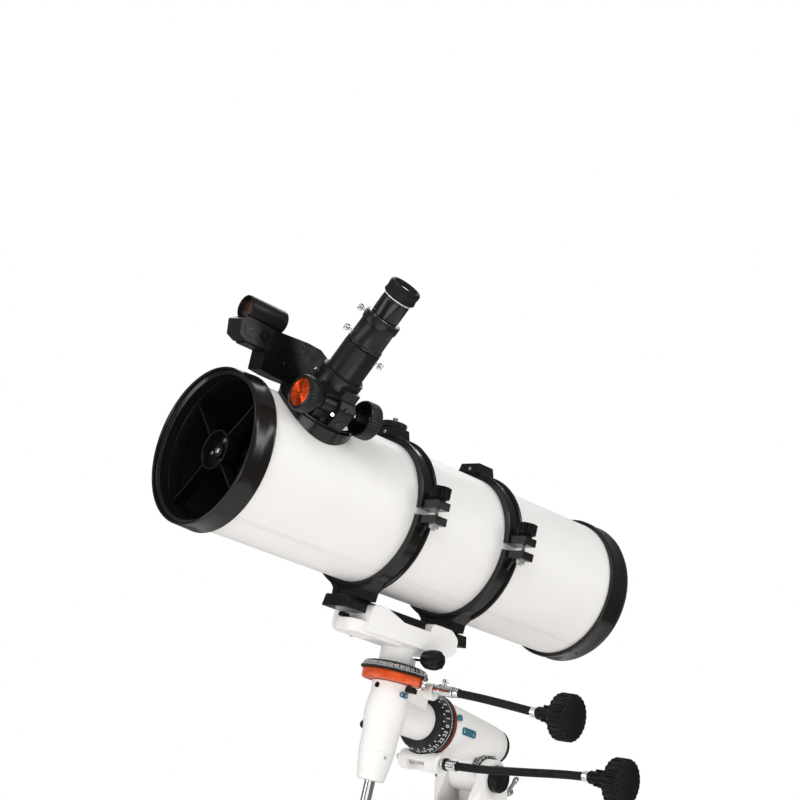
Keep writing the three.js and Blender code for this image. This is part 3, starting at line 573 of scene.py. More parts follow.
def make_rear_cell():
    cup = turned([(26, -261), (27, -262.5), (70, -262.5), (72, -264.8), (80.8, -264.8), (82.2, -264),
        (86, -257.6), (86.6, -255), (86.2, -252), (86.4, -239), (87.2, -236), (87.2, -230.6),
        (86.6, -229.7), (82.75, -229.7), (82.75, -240.2), (70.5, -240.2), (70, -222.4), (65.4, -222.4),
        (65.4, -238.4)], steps=160)
    to_tube = on(OPTICS, "tube")
    to_tube("rear_cell_cup", cup, gloss_black, GLOSS, "rear_cell", 0.3)
    glass = turned([(64.4, -238.2), (65, -237.6), (65, -218.8), (64.4, -218.2), (50, -219.2), (35, -219.9),
        (18, -220.3), (0, -220.4)], steps=128)
    to_tube("main_mirror", glass, mirror_coat, "mirror", "primary_mirror")
    clips, springs, locks, sides = [], [], [], []
    for k in range(3):
        turn = spin(120 * k + 30)
        clips.append(moved(together(block((60, 70), (-5, 5), (-217.4, -215.6)), block((66.5, 69.5), (-5, 5),
            (-222.4, -215.6))), turn))
        springs.append(turn @ shift(58, -9, -262.4) @ spin(180, "X"))
        locks.append(turn @ shift(58, 9, -262.4) @ spin(180, "X"))
        sides += [on_tube(86.9, 120 * k + 34, -233.4), on_tube(86.3, 120 * k + 34, -244.5)]
    to_tube("mirror_clips", together(*clips), moulded_black, bevel=0.3)
    to_tube("collimation_screws", copies(socket_head(4.2, 2.2), springs), bolt_steel)
    to_tube("collimation_locks", copies(screw_head(3.6, 2.0), locks), bolt_steel)
    to_tube("rear_cell_screws", copies(screw_head(1.7, 0.8), sides), dark_steel)
    plaque = turned([(22, -262.2), (22.8, -261.6), (23.4, -260.6)], steps=72)
    to_tube("rear_cell_boss", plaque, satin_black, bevel=0.2)


# ---- Tube rings -----------------------------------------------------------------------------
RING_CENTRES = {"front": 82.7, "rear": -55.6}
RING_HALF = 11.15
HINGE_AT = -95.5
EAR_SCREW, EAR_TOP = 106, 13


def ring_section(centre):
    """Raised edges with a recessed channel between them."""
    w = RING_HALF
    section = [(83.2, -w), (90.4, -w), (90.9, -w + 0.5), (90.9, -w + 2.2), (90.3, -w + 2.8),
        (87.9, -w + 3.4), (87.9, w - 3.4), (90.3, w - 2.8), (90.9, w - 2.2), (90.9, w - 0.5), (90.4, w),
        (83.2, w)]
    return [(r, centre + s) for r, s in section]


def make_ring(which, centre):
    low, high = centre - RING_HALF, centre + RING_HALF
    third = RING_HALF * 2 / 3
    cap_body = f"ring_cap_{which}"
    upper = band(ring_section(centre), -89.3, 87.4, 96)
    lower = band(ring_section(centre), 92.6, 269.3, 96)

    outline = [(-21, 84, 0), (21, 84, 0), (20, 89, 3), (15.5, 100.4, 1), (-15.5, 100.4, 1), (-20, 89, 3)]
    pad = cut(plate(rounded(outline), low, high), rod(86, low - 1, high + 1, steps=120))
    pad_ribs = [plate([(x - 1, 88), (x + 1, 88), (x + 1, 99.2), (x - 1, 99.2)], high - 0.2, high + 0.35)
        for x in (-8, 8)]
    outline = [(86, 4, 0), (115.6, 4, 1), (115.6, EAR_TOP, 1.2), (89, EAR_TOP, 0), (86.5, 17, 0)]
    gusset = plate([(89, 12.8), (94, 12.8), (89.4, 23), (86.8, 25)], centre - 1.6, centre + 1.6)
    ear = together(plate(rounded(outline), centre - 8.6, centre + 8.6), gusset)
    lower_ear = moved(ear.copy(), Matrix.Diagonal((1, -1, 1, 1)))
    middle = (low + third + 0.3, high - third - 0.3)
    knuckles = [rod(5, *middle, steps=32), block((0, 12), (1, 5), middle)]
    cap = together(upper, pad, *pad_ribs, ear, *[moved(part, shift(HINGE_AT)) for part in knuckles])
    to_cap = on(OPTICS, cap_body)
    to_cap(f"ring_{which}_upper", cap, gloss_black, "black_cast", f"ring_cap_{which}", 0.35)

    outline = [(-44, -71, 1), (44, -71, 1), (34, -84, 8), (27, -90, 3), (26, -100, 0.6), (-26, -100, 0.6),
        (-27, -90, 3), (-34, -84, 8)]
    recesses = [block((-17, 17), (-97, -91), z) for z in ((high - 1.2, high + 2), (low - 2, low + 1.2))]
    foot = cut(plate(rounded(outline), low, high), rod(86, low - 1, high + 1, steps=120), *recesses)
    foot_ribs = [block((x - 0.9, x + 0.9), (-99.6, -86), (low - 0.4, high + 0.4)) for x in (-22, 22)]
    ends = [(low, low + third - 0.3), (high - third + 0.3, high)]
    knuckles = [rod(5, *end, steps=32) for end in ends] + [block((0, 12), (-5, -1), end) for end in ends]
    base = together(lower, foot, lower_ear, *foot_ribs, *[moved(part, shift(HINGE_AT))
        for part in knuckles])
    to_dovetail = on(OPTICS, "dovetail")
    to_dovetail(f"ring_{which}_lower", base, gloss_black, "black_cast", f"ring_base_{which}", 0.35)
    pin = turned([(3, low - 0.8), (3, low), (2, low), (2, high), (3, high), (3, high + 0.8)], steps=24)
    to_dovetail(f"ring_{which}_hinge_pin", moved(pin, shift(HINGE_AT)), bolt_steel)
    felt = [(82.62, centre - 10), (83.25, centre - 10), (83.25, centre + 10), (82.62, centre + 10)]
    to_cap(f"ring_{which}_felt_upper", band(felt, -88, 87, 60), matte_black)
    to_dovetail(f"ring_{which}_felt_lower", band(felt, 93, 268, 60), matte_black)

    knob_at = shift(EAR_SCREW, 0, centre)
    seat = EAR_TOP + 0.3
    knob = fluted(11, seat + 3.2, seat + 16.2, "y", 10, 3.0, dish=1.2)
    collar = turned([(7, seat), (7, seat + 2.2), (9.6, seat + 3.6)], "y", 40)
    to_knob = on(OPTICS, f"ring_knob_{which}")
    to_knob(f"ring_{which}_knob", moved(together(knob, collar), knob_at), moulded_black, GLOSS,
        f"ring_knob_{which}", 0.35)
    stud = moved(worm(2.2, 0.35, 1.0, -19.6, 15, "z"), TURNS["y"], knob_at)
    to_knob(f"ring_{which}_stud", stud, bolt_steel)
    nut = together(rod(5.4, -17.4, -13.9, "y", 6), rod(6.4, -13.9, -EAR_TOP - 0.05, "y", 32))
    to_dovetail(f"ring_{which}_nut", moved(nut, knob_at), bolt_steel, bevel=0.25)
    feet = [facing(x, -99.4, centre, (0, -1, 0)) for x in (-12, 12)]
    to_dovetail(f"ring_{which}_foot_screws", copies(socket_head(3.2, 0.6), feet), bolt_steel)


def make_pads():
    disc = fluted(15.3, 100.8, 107, "y", 40, 0.8, 0.7)
    neck = rod(6, 99.8, 101.2, "y", 32)
    at = shift(z=RING_CENTRES["front"])
    to_ring_cap_front = on(OPTICS, "ring_cap_front")
    to_ring_cap_front("piggyback_wheel", moved(together(disc, neck), at), gloss_black, GLOSS,
        "piggyback_disc", 0.2)
    stud = worm(3.1, 0.5, 1.27, 100, 113, "z")
    to_ring_cap_front("piggyback_stud", moved(stud, TURNS["y"], at), bolt_steel)
    rear = facing(-8, 100.3, RING_CENTRES["rear"], (0, 1, 0))
    piece("rear_pad_screw", moved(screw_head(2.6, 0.1, False), shift(z=0.05), rear), OPTICS, bolt_steel,
        "ring_cap_rear")
    for which, centre in RING_CENTRES.items():
        side = facing(0, 94, centre + RING_HALF, (0, 0, 1))
        piece(f"{which}_pad_screw", moved(screw_head(2.2, 0.9), side), OPTICS, bolt_steel,
            f"ring_cap_{which}")


# ---- Focuser and eyepiece -------------------------------------------------------------------
PINION_X, PINION_Y = 28, 108


def make_focuser():
    around = rod(82.8, -90, 90, steps=160)
    skirt = plate(ellipse(42, 48, 120), 60, 86.4, "xz")
    lip = plate(ellipse(38.5, 44.5, 120), 80, 89, "xz")
    dish = plate(ellipse(35.5, 41.5, 120), 86.8, 95, "xz")
    flange = cut(joined(skirt, lip), around.copy(), dish)
    throat = turned([(33, 70), (33, 86), (31.4, 92), (28.6, 98), (26.2, 105), (25.4, 112), (25, 120),
        (24.9, 135.4), (24.3, 136.8)], "y", 96)
    hump = plate(rounded([(8, 78, 0), (36, 78, 2), (41.5, 100, 4), (41, 112, 9), (34, 121, 9), (22, 123, 6),
        (8, 123, 0)]), -12, 25)
    notch = plate([(29, 60), (60, 60), (60, 130), (29, 119)], 7.5, 40)
    pinion = moved(rod(9.2, -12, 25.5, steps=72), shift(PINION_X - 1, PINION_Y))
    gib = block((20, 33), (112, 131), (-11, 9))
    core = cut(joined(throat, cut(hump, notch), pinion, gib), around, rod(21.3, 40, 200, "y"),
        moved(rod(4, -60, 60, steps=32), shift(PINION_X, PINION_Y)))
    to_tube = on(FOCUSER, "tube")
    to_tube("focuser_flange", flange, gloss_black, SATIN, "focuser_base", 0.7)
    to_tube("focuser_throat", core, satin_black, SATIN, bevel=0.7)

    spots = []
    for k in range(4):
        t = math.radians(45 + 90 * k)
        x, z = 38.5 * math.cos(t), 44 * math.sin(t)
        y = math.sqrt(82.5 ** 2 - x * x) + 4.4
        spots.append(facing(x * 0.94, y, z * 0.94, (x / 90, 1, 0)))
    to_tube("focuser_flange_screws", copies(screw_head(2.6, 1.2), spots), dark_steel)
    spots = [facing(41.2, 96, -1, (1, 0.05, 0)), facing(40.6, 114, -1, (1, 0.1, 0))]
    to_tube("focuser_block_screws", copies(socket_head(2.6, 0.9), spots), dark_steel)
    shiny = together(moved(socket_head(2.4, 4.4), facing(34, 103, 7, (0.9, -0.1, 0.6))),
        moved(rod(1.9, 0, 4.5, steps=24, chamfer=0.4), facing(-14, 122, 20.5, (-0.3, 0.4, 1))))
    to_tube("focuser_tension_screw", shiny, chrome)

    draw = turned([(19.4, 62), (21, 62), (21, 172.6), (20.6, 173.4), (19.4, 173.4)], "y", 96, ends="joined")
    piece("draw_tube", draw, FOCUSER, satin_black, "drawtube", SATIN, "drawtube")
    trim = turned([(19.8, 136.9), (22.6, 136.9), (22.6, 138), (21.05, 138.4), (19.8, 138.4)], "y", 96,
        ends="joined")
    to_tube("throat_seal", cut(trim, rod(21.06, 130, 140, "y", 96)), rubber_black)
    make_focus_knobs()
    make_adapter()


def make_focus_knobs():
    at = FOCUSER @ shift(PINION_X, PINION_Y)
    front = turned([(16, 38), (18.6, 39.4, 0.3), (19.8, 42, 1), (19.9, 52, 1), (18.8, 54.2, 0.2),
        (16.2, 55, 0), (15.7, 54.6, 0), (15.6, 53, 0)], steps=240, flutes=40, depth=0.55)
    neck = turned([(9.4, 27.5), (10.6, 30), (12.5, 38.4)], steps=64)
    to_focus_knobs = on(at, "focus_knobs")
    to_focus_knobs("focus_knob_front", together(front, neck), satin_black, SATIN, "focus_knobs", 0.25)
    grooves = [(3.4 + k * 0.26, 54.3 + 0.14 * (k % 2)) for k in range(43)]
    disc = turned([(2.6, 53.9), *grooves, (15.2, 54.0), (15.4, 52.8)], steps=128)
    to_focus_knobs("focus_knob_insert", disc, ember)
    rear = turned([(17.4, -47), (19.4, -46.4, 0.2), (20.7, -44.8, 1), (20.9, -34, 1), (20.2, -31.4, 0.3),
        (19, -30.4), (17.6, -30.6), (17, -32), (16.6, -38.4), (15.6, -39.4), (8, -39.6), (6.4, -38),
        (4.8, -27.5), (4.2, -24.6), (0, -24.4)], steps=320, flutes=40, depth=0.5)
    to_focus_knobs("focus_knob_rear", rear, satin_black, SATIN, bevel=0.25)
    shaft = together(rod(3, -26, 40, steps=32), rod(3.9, -24.6, -21.5, steps=32))
    to_focus_knobs("focus_shaft", shaft, chrome, bevel=0.2)


def thumb_screw(reach):
    """A small chrome thumb-screw along +Z from where it enters."""
    neck = rod(1.5, -2, reach, steps=20)
    head = turned([(2.9, reach - 0.4, 0.3), (3.6, reach + 0.3, 1), (3.6, reach + 4.2, 1),
        (2.9, reach + 4.9, 0.3)], steps=96, flutes=16, depth=0.45)
    return together(neck, head)


def make_adapter():
    body = turned([(16.3, 174.3), (20.4, 174.3), (20.8, 174.8), (20.8, 176.8), (20.2, 177.4), (19.7, 177.8),
        (19.5, 199.4), (20.2, 200.6), (20.7, 201.6), (20.8, 203), (20.8, 209.8), (20.2, 211), (17.6, 211.5),
        (16.3, 211.5)], "y", 128, ends="joined")
    to_drawtube = on(FOCUSER, "drawtube")
    to_drawtube("adapter_body", body, satin_black, SATIN, "eyepiece_adapter", 0.2)
    lip = turned([(16.25, 211.2), (17.5, 211.2), (17.5, 211.75), (17.1, 211.9), (16.3, 211.9)], "y", 128,
        ends="joined")
    to_drawtube("adapter_bright_lip", lip, silver)
    screws = [facing(20.4 * math.cos(t), y, 20.4 * math.sin(t), (math.cos(t), 0, math.sin(t)))
        for y, t in ((206, math.radians(128)), (181, math.radians(118)), (165, math.radians(-58)))]
    to_drawtube("adapter_thumb_screws", copies(thumb_screw(4.2), screws), chrome)


def make_eyepiece():
    barrel = turned([(15.7, 186), (15.8, 186.4), (15.8, 211.6), (16, 212.2), (16, 233.5), (15.7, 233.9),
        (15.7, 234.7), (16, 235.1), (16, 238.4)], "y", 128)
    to_eyepiece = on(FOCUSER, "eyepiece")
    to_eyepiece("eyepiece_barrel", barrel, gloss_black, "black_rubber", "eyepiece", 0.15)
    cup = turned([(15.6, 237.6), (17.6, 237.8), (18.4, 238.8), (18.5, 240.6), (17.9, 242), (17.8, 244.4),
        (18.3, 248), (18.2, 250.6), (17, 252.4), (15.4, 252.9), (13.8, 252), (12.6, 249.6), (10.2, 248.6),
        (9.6, 247.4), (0, 247.4)], "y", 128, ends="open")
    to_eyepiece("eyecup", cup, rubber_black, "black_rubber", bevel=0.15)
    lens = turned([(0, 250.2), (4, 249.9), (7, 249.1), (8.8, 248.4), (9.4, 247)], "y", 64)
    to_eyepiece("eye_lens", lens, dark_glass)
    line = sleeve(15.6, 16.12, 235.9, 236.9, "y", 128)
    to_eyepiece("eyepiece_ring_line", line, ink_white)


# ---- Finder ---------------------------------------------------------------------------------
SIGHT_Y = 154


def make_finder():
    profile = rounded([(207, 97, 2), (246, 95.2, 2), (274, 94, 2), (295.5, 96, 1.5), (297.3, 117.4, 0.5),
        (300, 123, 2), (296, 141.6, 2), (246, 144.3, 4), (227, 143.2, 5), (207, 133, 4)])
    throat = turned([(35.4, 60), (35.4, 86), (33.4, 93), (30.4, 99), (27.8, 106), (26.6, 113), (26.2, 200)],
        "y", 72)
    clear = moved(throat, spin(FINDER_LEAN - FOCUS_LEAN), shift(z=FOCUS_AT))
    barrel = rod(83.0, 150, 330, steps=160)
    body = cut(plate(profile, -12, 12, "zy"), rod(95.2, 246, 330, steps=120), barrel, clear)
    ribs = [plate([(s, 101), (s + 1.6, 101), (s + 1.6, 124), (s, 124)], -12.6, 12.6, "zy")
        for s in range(252, 288, 4)]
    rail = plate(rounded([(250, 127.5, 1), (292, 126, 1), (292, 129.5, 1), (250, 131, 1)]), -12.7, 12.7,
        "zy")
    foot = cut(plate(rounded([(206, 84, 0), (246, 84, 1), (247, 98, 1), (206, 99, 1)]), -15, 15, "zy"),
        rod(83.0, 150, 330, steps=160), moved(turned([(44, 60), (44, 93)], "y", 72),
        spin(FINDER_LEAN - FOCUS_LEAN), shift(z=FOCUS_AT)))
    to_tube = on(FINDER, "tube")
    to_tube("finder_bracket_body", together(body, rail, foot, *ribs), moulded_black, GLOSS,
        "finder_bracket", 0.6)
    box = cut(plate(rounded([(293, 118.2, 1.5), (324, 117.9, 1.5), (333.8, 122, 1.5), (337.3, 138.2, 1.5),
        (329, 143.6, 1), (293, 141.8, 1)]), -12.6, 12.6, "zy"), moved(rod(14.2, 260, 360, steps=72),
        shift(y=SIGHT_Y)))
    panel = plate(rounded([(297, 124, 2), (328, 124, 2), (331, 136, 2), (297, 137, 2)]), 12.4, 13.2, "zy")
    under = block((-8, 8), (115.6, 118.4), (299, 322))
    to_tube("finder_box", together(box, panel, under), satin_black, GLOSS, bevel=0.6)
    knob = moved(fluted(4.6, 0, 3.4, "z", 14, 0.5, 0.4), facing(13.2, 131, 304, (1, 0, 0)))
    to_tube("finder_adjuster", knob, moulded_black, bevel=0.15)
    spots = [facing(12.5, 112, 268, (1, 0, 0)), facing(13.0, 131, 322, (1, 0, 0)), facing(12.2, 138, 250,
        (1, 0, 0))]
    to_tube("finder_screws", copies(screw_head(1.9, 0.8), spots), dark_steel)
    sight = turned([(4.8, 279), (12, 279.4), (13.6, 280.6), (14, 283), (14, 328), (13.5, 329.6),
        (12.5, 330), (12, 329), (12, 285), (4.8, 283.5)], steps=80)
    to_tube("finder_sight_tube", moved(sight, shift(y=SIGHT_Y)), satin_black, GLOSS, "finder_tube")
    pane = turned([(0, 324.6), (6, 324.3), (12.1, 323.2), (12.1, 321.6), (0, 322.6)], steps=64)
    to_tube("finder_lens", moved(pane, shift(y=SIGHT_Y)), amber_glass)
    eye = turned([(3.4, 278.8), (4.4, 279.4), (4.4, 281)], steps=40)
    to_tube("finder_peep", moved(eye, shift(y=SIGHT_Y)), dark_glass)


# ---- Numbers and ticks on a dial --------------------------------------------------------------
def on_cone(radius, height, slope, angle):
    """A place on a cone round Z, its Z out of the surface and its Y up the slope."""
    t, a = math.radians(angle), math.radians(slope)
    out = Vector((math.cos(t), math.sin(t), 0))
    normal = out * math.cos(a) + UP * math.sin(a)
    rise = UP * math.cos(a) - out * math.sin(a)
    turn = Matrix((rise.cross(normal), rise, normal)).transposed().to_4x4()
    return Matrix.Translation(out * radius + UP * height) @ turn


def dial_marks(radius, height, slope, words, size, tick_drop, ticks=10):
    """Words round a cone with a row of ticks below them, all slightly proud of it."""
    made = []
    slant = math.radians(slope)
    for k, word in enumerate(words):
        made.append(moved(lettering(word, size), on_cone(radius, height, slope, 360 * k / len(words))))
    total = len(words) * ticks
    for k in range(total):
        tall = 1.3 if k % ticks == 0 else 0.8
        mark = block((-0.24, 0.24), (-tall, 0.6), (-0.3, 0.1))
        spot = on_cone(radius + tick_drop * math.sin(slant), height - tick_drop * math.cos(slant), slope,
            360 * k / total)
        made.append(moved(mark, spot))
    return together(*made)


# ---- Saddle -----------------------------------------------------------------------------------
def make_saddle():
    jaw = plate(rounded([(80, -133, 6), (79.5, -112, 3), (77, -103, 9), (55, -103, 9), (36, -109, 5),
        (29, -111.5, 2), (-12, -111.5, 1), (-13, -101.5, 5), (-44, -101.5, 12), (-56, -110, 8),
        (-56, -127, 7), (-46, -133, 6)], 8), -32, 32, "zy")
    slot = plate([(-22.5, -114.3), (22.5, -114.3), (17.2, -94.3), (-17.2, -94.3)], -80, 100)
    cheek = plate(rounded([(24, -107, 3), (-6, -107, 3), (-6, -92, 0), (24, -92, 0)]), -40, 40, "zy")
    neck = turned([(21, -153.1), (21, -139), (22.4, -135.5), (26, -133.5), (26, -130)], "y")
    flange = plate(rounded([(-14, 20, 2), (27, 20, 2), (27, 97, 13), (-14, 97, 16)], 8), -137.5, -123, "xz")
    under = block((-7, 20), (-150, -135), (56, 88))
    body = cut(joined(cut(jaw, slot, cheek), neck), block((-9, 9), (-136, -128), (34, 72)))
    to_declination = on(OPTICS, "declination")
    to_declination("saddle_body", body, cast_white, "white_cast", "saddle", 1.1)
    to_declination("saddle_flange", cut(flange, under), cast_white, bevel=1.2)
    axle = rod(8.9, -241.4, -150, "y")
    to_declination("declination_axle", axle, bolt_steel, bevel=0.4)
    stop = moved(fluted(6.2, 0, 4.2, "z", 16, 0.6, 0.5), facing(0, -121.8, 91, (0, 1, 0)))
    to_declination("saddle_stop_knob", stop, moulded_black, bevel=0.2)
    clamp = turned([(5.5, -42), (8.4, -44, 0.4), (10, -47, 1), (10, -55, 1), (8.6, -57.4, 0.4), (6, -58, 0),
        (0, -57.4)], "x", 96, flutes=8, depth=1.6)
    shaft = rod(3.3, -44, -32.3, "x", 32)
    at = OPTICS @ shift(0, -122, 30)
    to_saddle_knob = on(at, "saddle_knob")
    to_saddle_knob("saddle_clamp_knob", clamp, moulded_black, GLOSS, "saddle_knob", 0.3)
    to_saddle_knob("saddle_clamp_shaft", shaft, bolt_steel, bevel=0.2)
    tops = [facing(x, -103.1, 66, (0, 1, 0)) for x in (-27, 27)]
    tops += [facing(x, -101.6, -30, (0, 1, 0)) for x in (-27, 27)]
    to_declination("saddle_screws", copies(socket_head(2.6, 1.2), tops), bolt_steel)


def make_dovetail():
    bar = plate([(-22, -114), (22, -114), (18.5, -100.3), (-18.5, -100.3)], -80, 108)
    groove = block((-7, 7), (-103, -99), (-44, 70))
    heel = block((-12, 12), (-103.2, -99), (74, 92))
    to_dovetail = on(OPTICS, "dovetail")
    to_dovetail("dovetail_rail", cut(bar, groove, heel), gloss_black, "black_cast", "dovetail_bar", 0.5)
    heads = [facing(0, -103, z, (0, 1, 0)) for z in (-30, 14, 56)]
    to_dovetail("dovetail_screws", copies(socket_head(3, 2.4), heads), bolt_steel)


# ---- Declination head -------------------------------------------------------------------------
TUBE_TURN = 11.19


def make_declination_head():
    wheel = turned([(9.2, 30.1), (34.6, 30.1), (35.2, 30.8, 1), (36, 31.6, 1), (36, 39.4, 1),
        (35.2, 40.4, 1), (9.2, 40.4)], "y", 1080, flutes=180, depth=0.55, ends="joined")
    to_declination = on(HEAD, "declination")
    to_declination("declination_worm_wheel", wheel, orange, "orange_anodised", "dec_worm_wheel")
    dial = turned([(9.2, 40.7), (38, 40.7), (39, 41.3, 1), (39, 43.2, 1), (38.4, 44), (35.2, 49.2),
        (34.4, 49.7), (31, 50.2), (30.4, 50.9), (23.2, 51.4), (9.2, 51.4)], "y", 720, flutes=120, depth=0.5,
        ends="joined")
    to_declination("declination_dial", dial, satin_black, SATIN, "dec_setting_circle")
    words = [str(abs((k * 10 + 90) % 180 - 90)) for k in range(36)]
    marks = dial_marks(36.9, 46.4, 33, words, 5.8, 2.9, 5)
    to_declination("declination_dial_marks", moved(marks, TURNS["y"]), ink_white)
    at = HEAD @ shift(y=62) @ spin(TUBE_TURN, "Y")
    knob = turned([(0, 34.5), (4.6, 34.4), (6, 35.4), (8.6, 37.4, 0.3), (10.6, 41, 1), (11.5, 48, 1),
        (11.4, 55, 1), (10.2, 59, 0.6), (7.6, 61.2, 0.1), (4, 61.9), (3.4, 61.4), (0, 61.3)], "x", 128,
        flutes=8, depth=1.9)
    to_dec_lock = on(at, "dec_lock")
    to_dec_lock("declination_lock_knob", knob, moulded_black, GLOSS, "dec_lock_knob", 0.3)
    to_dec_lock("declination_lock_shaft", rod(3.6, 21.4, 36, "x", 40), chrome, bevel=0.3)


def make_declination_housing():
    barrel = turned([(6.3, -80.7), (14.9, -80.7), (15.6, -80), (20.3, -51), (20.3, -49.6), (19.9, -49.3),
        (19.9, -48.7), (20.6, -48.4), (21, -28), (24.4, -6), (23.4, 4), (21.6, 18), (22, 24), (23, 28.6),
        (22.4, 29.5), (9.2, 29.5), (9.2, -45), (6.3, -46)], "y", 128, ends="joined")
    boss = turned([(21.6, -66.4), (22.3, -65.7), (22.3, -8)], "z", 96)
    worm_body = turned([(8.6, -20), (9.5, -19), (9.5, 28.8), (8.3, 30)], "x", 72)
    arm = plate(rounded([(-16, -50, 5), (20, -50, 5), (17, -14, 3), (-12, -14, 3)]), 10, 31, "xz")
    housing = joined(cut(barrel, rod(12.3, -75, -20, "z")), cut(boss, rod(9.3, -40, 40, "y")),
        moved(worm_body, shift(0, 32, -43)), arm)
    housing = cut(housing, rod(36.8, 29.8, 60, "y", 128), rod(9.2, -44, 70, "y", 96), rod(12.6, -70, -50,
        "z", 72), moved(rod(6, -30, 35, "x", 48), shift(0, 35, -42)))
    to_right_ascension = on(POLAR, "right_ascension")
    to_right_ascension("declination_body", housing, cast_white, "white_cast", "declination_housing", 0.9)
    steel_end = turned([(11, -51), (12.3, -52.4), (12.3, -221), (11.4, -221.8)])
    to_right_ascension("polar_shaft", steel_end, bolt_steel, "steel", "polar_axle")

    around = POLAR @ TURNS["y"]
    screw = moved(turned([(3.1, 0), (3.1, 0.9), (2.4, 1.3), (0, 1.35)], steps=32), on_cone(22.4, 23, 4,
        -97))
    to_surface = on(around, "right_ascension")
    to_surface("declination_grub_screw", screw, matte_black, bevel=0.1)
    badge = plate(rounded([(-6.5, -3, 2.6), (6.5, -3, 2.6), (6.5, 3, 2.6), (-6.5, 3, 2.6)]), -0.6, 0.7)
    studs = [moved(screw_head(1.5, 0.7), shift(x, 0, 0.6)) for x in (-4, 4)]
    to_surface("declination_plate", moved(badge, on_cone(22.1, 18, -6, -6)), teal, bevel=0.3)
    to_surface("declination_plate_screws", moved(together(*studs), on_cone(22.1, 18, -6, -6)), chrome)
    stop = moved(plate(rounded([(-5, -3, 1), (5, -3, 1), (5, 3.6, 1), (-5, 3.6, 1)]), -1.5, 9),
        on_cone(23, 25, 0, 6))
    to_surface("declination_stop", stop, moulded_black, bevel=0.5)
    side = moved(screw_head(2.1, 1.0), on_cone(19.2, -54, -9, -19))
    to_surface("declination_joint_screw", side, bolt_steel)
    clip_shape = rounded([(23.2, 26.6, 1), (39.6, 26.6, 2), (41.2, 46, 2), (40, 46.4, 0.4),
        (38.4, 28.4, 1.6), (23.2, 28.2, 0.4)])
    clip = moved(plate(clip_shape, -3, 3, "xy"), spin(9, "Y"))
    to_right_ascension("declination_index_clip", clip, chrome, bevel=0.3)


def make_ra_dial():
    dial = turned([(12.8, -66.8), (30.4, -66.8), (31, -67.4), (32.4, -69.8), (33, -71), (35.9, -83.4),
        (36, -84, 1), (36, -86, 1), (35.4, -86.6), (12.8, -86.6)], "z", 720, flutes=120, depth=0.5,
        ends="joined")
    to_right_ascension = on(POLAR, "right_ascension")
    to_right_ascension("right_ascension_dial", dial, satin_black, SATIN, "ra_setting_circle")
    hours = [str(k) for k in range(24)]
    marks = dial_marks(34.1, -75.4, 13, hours, 7.4, 5.6, 6)
    upper = [moved(block((-0.5, 0.5), (-1.3, 1.3), (-0.3, 0.1)), on_cone(32.0, -69.2, 34, 15 * k + 7.5))
        for k in range(24)]
    to_right_ascension("right_ascension_dial_marks", together(marks, *upper), ink_white)
    ring = turned([(12.8, -87.3), (35.2, -87.3), (36, -88, 1), (36, -91, 1), (35.2, -91.6), (12.8, -91.6)],
        "z", 1080, flutes=180, depth=0.5, ends="joined")
    to_right_ascension("right_ascension_worm_wheel", ring, dark_red)


# ---- Polar housing ----------------------------------------------------------------------------
HUB_Y, HUB_Z = -40, -191
RA_WORM, DEC_WORM = (0, -42, -85), (0, 35, -42)


def make_polar_housing():
    body = turned([(30.6, -92.5), (31.2, -93.2), (32, -100), (30.6, -122), (27.4, -166), (24.6, -202),
        (22.4, -220), (21, -222)], "z", 128)
    hub = turned([(18.6, -21.4), (20, -20), (20, 20), (18.6, 21.4)], "x", 96)
    web = plate(rounded([(-42, -216, 4), (-16, -216, 1), (-16, -160, 1), (-30, -166, 6), (-42, -178, 6)]),
        -15, 15, "yz")
    tail = block((-13, 13), (-8, 8), (-44, -8))
    here = shift(0, HUB_Y, HUB_Z)
    worm_body = turned([(10.4, -26), (11.5, -24.8), (11.5, 28.8), (10.4, 30)], "x", 96)
    arm = plate(rounded([(-18, -112, 6), (22, -112, 6), (22, -86, 4), (-18, -86, 4)]), -51, -20, "xz")
    whole = joined(body, moved(hub, here), web, moved(tail, spin(POLAR_ALTITUDE - 90, "X"), here),
        moved(worm_body, shift(0, -43, -85)), arm)
    whole = cut(whole, rod(36.8, -92.2, -60, steps=128), rod(13, -240, -80, steps=96),
        moved(rod(6.3, -60, 60, "x"), here), moved(rod(6, -30, 35, "x"), shift(*RA_WORM)), block((-13, 13),
        (-60, -44), (-89, -65)))
    to_latitude = on(POLAR, "latitude")
    to_latitude("polar_body", whole, cast_white, "white_cast", "polar_housing", 1.0)
    cap = turned([(14.6, -231), (16.2, -230.4), (20.8, -227.6), (21.5, -226.6), (21.5, -222.3)], "z", 96)
    to_latitude("polar_end_cap", cap, moulded_black, GLOSS, "polar_cap", 0.4)
    badge = plate(rounded([(-4.6, -16, 4.6), (4.6, -16, 4.6), (4.6, 16, 4.6), (-4.6, 16, 4.6)], 8), -0.9,
        0.9)
    dots = [moved(screw_head(2.2, 0.8), shift(0, y, 0.8)) for y in (-10.6, 10.6)]
    to_latitude("polar_plate", moved(badge, on_cone(30.2, -124.5, -4, 3)), teal, bevel=0.4)
    to_latitude("polar_plate_screws", moved(together(*dots), on_cone(30.2, -124.5, -4, 3)), chrome)
    pointer = plate([(-3.4, -5), (3.4, -5), (3.4, 1.6), (0, 6.2), (-3.4, 1.6)], -1.2, 2.6)
    to_latitude("polar_pointer", moved(pointer, on_cone(33.2, -98.2, 0, 25)), teal, bevel=0.4)
    make_latitude_scale()


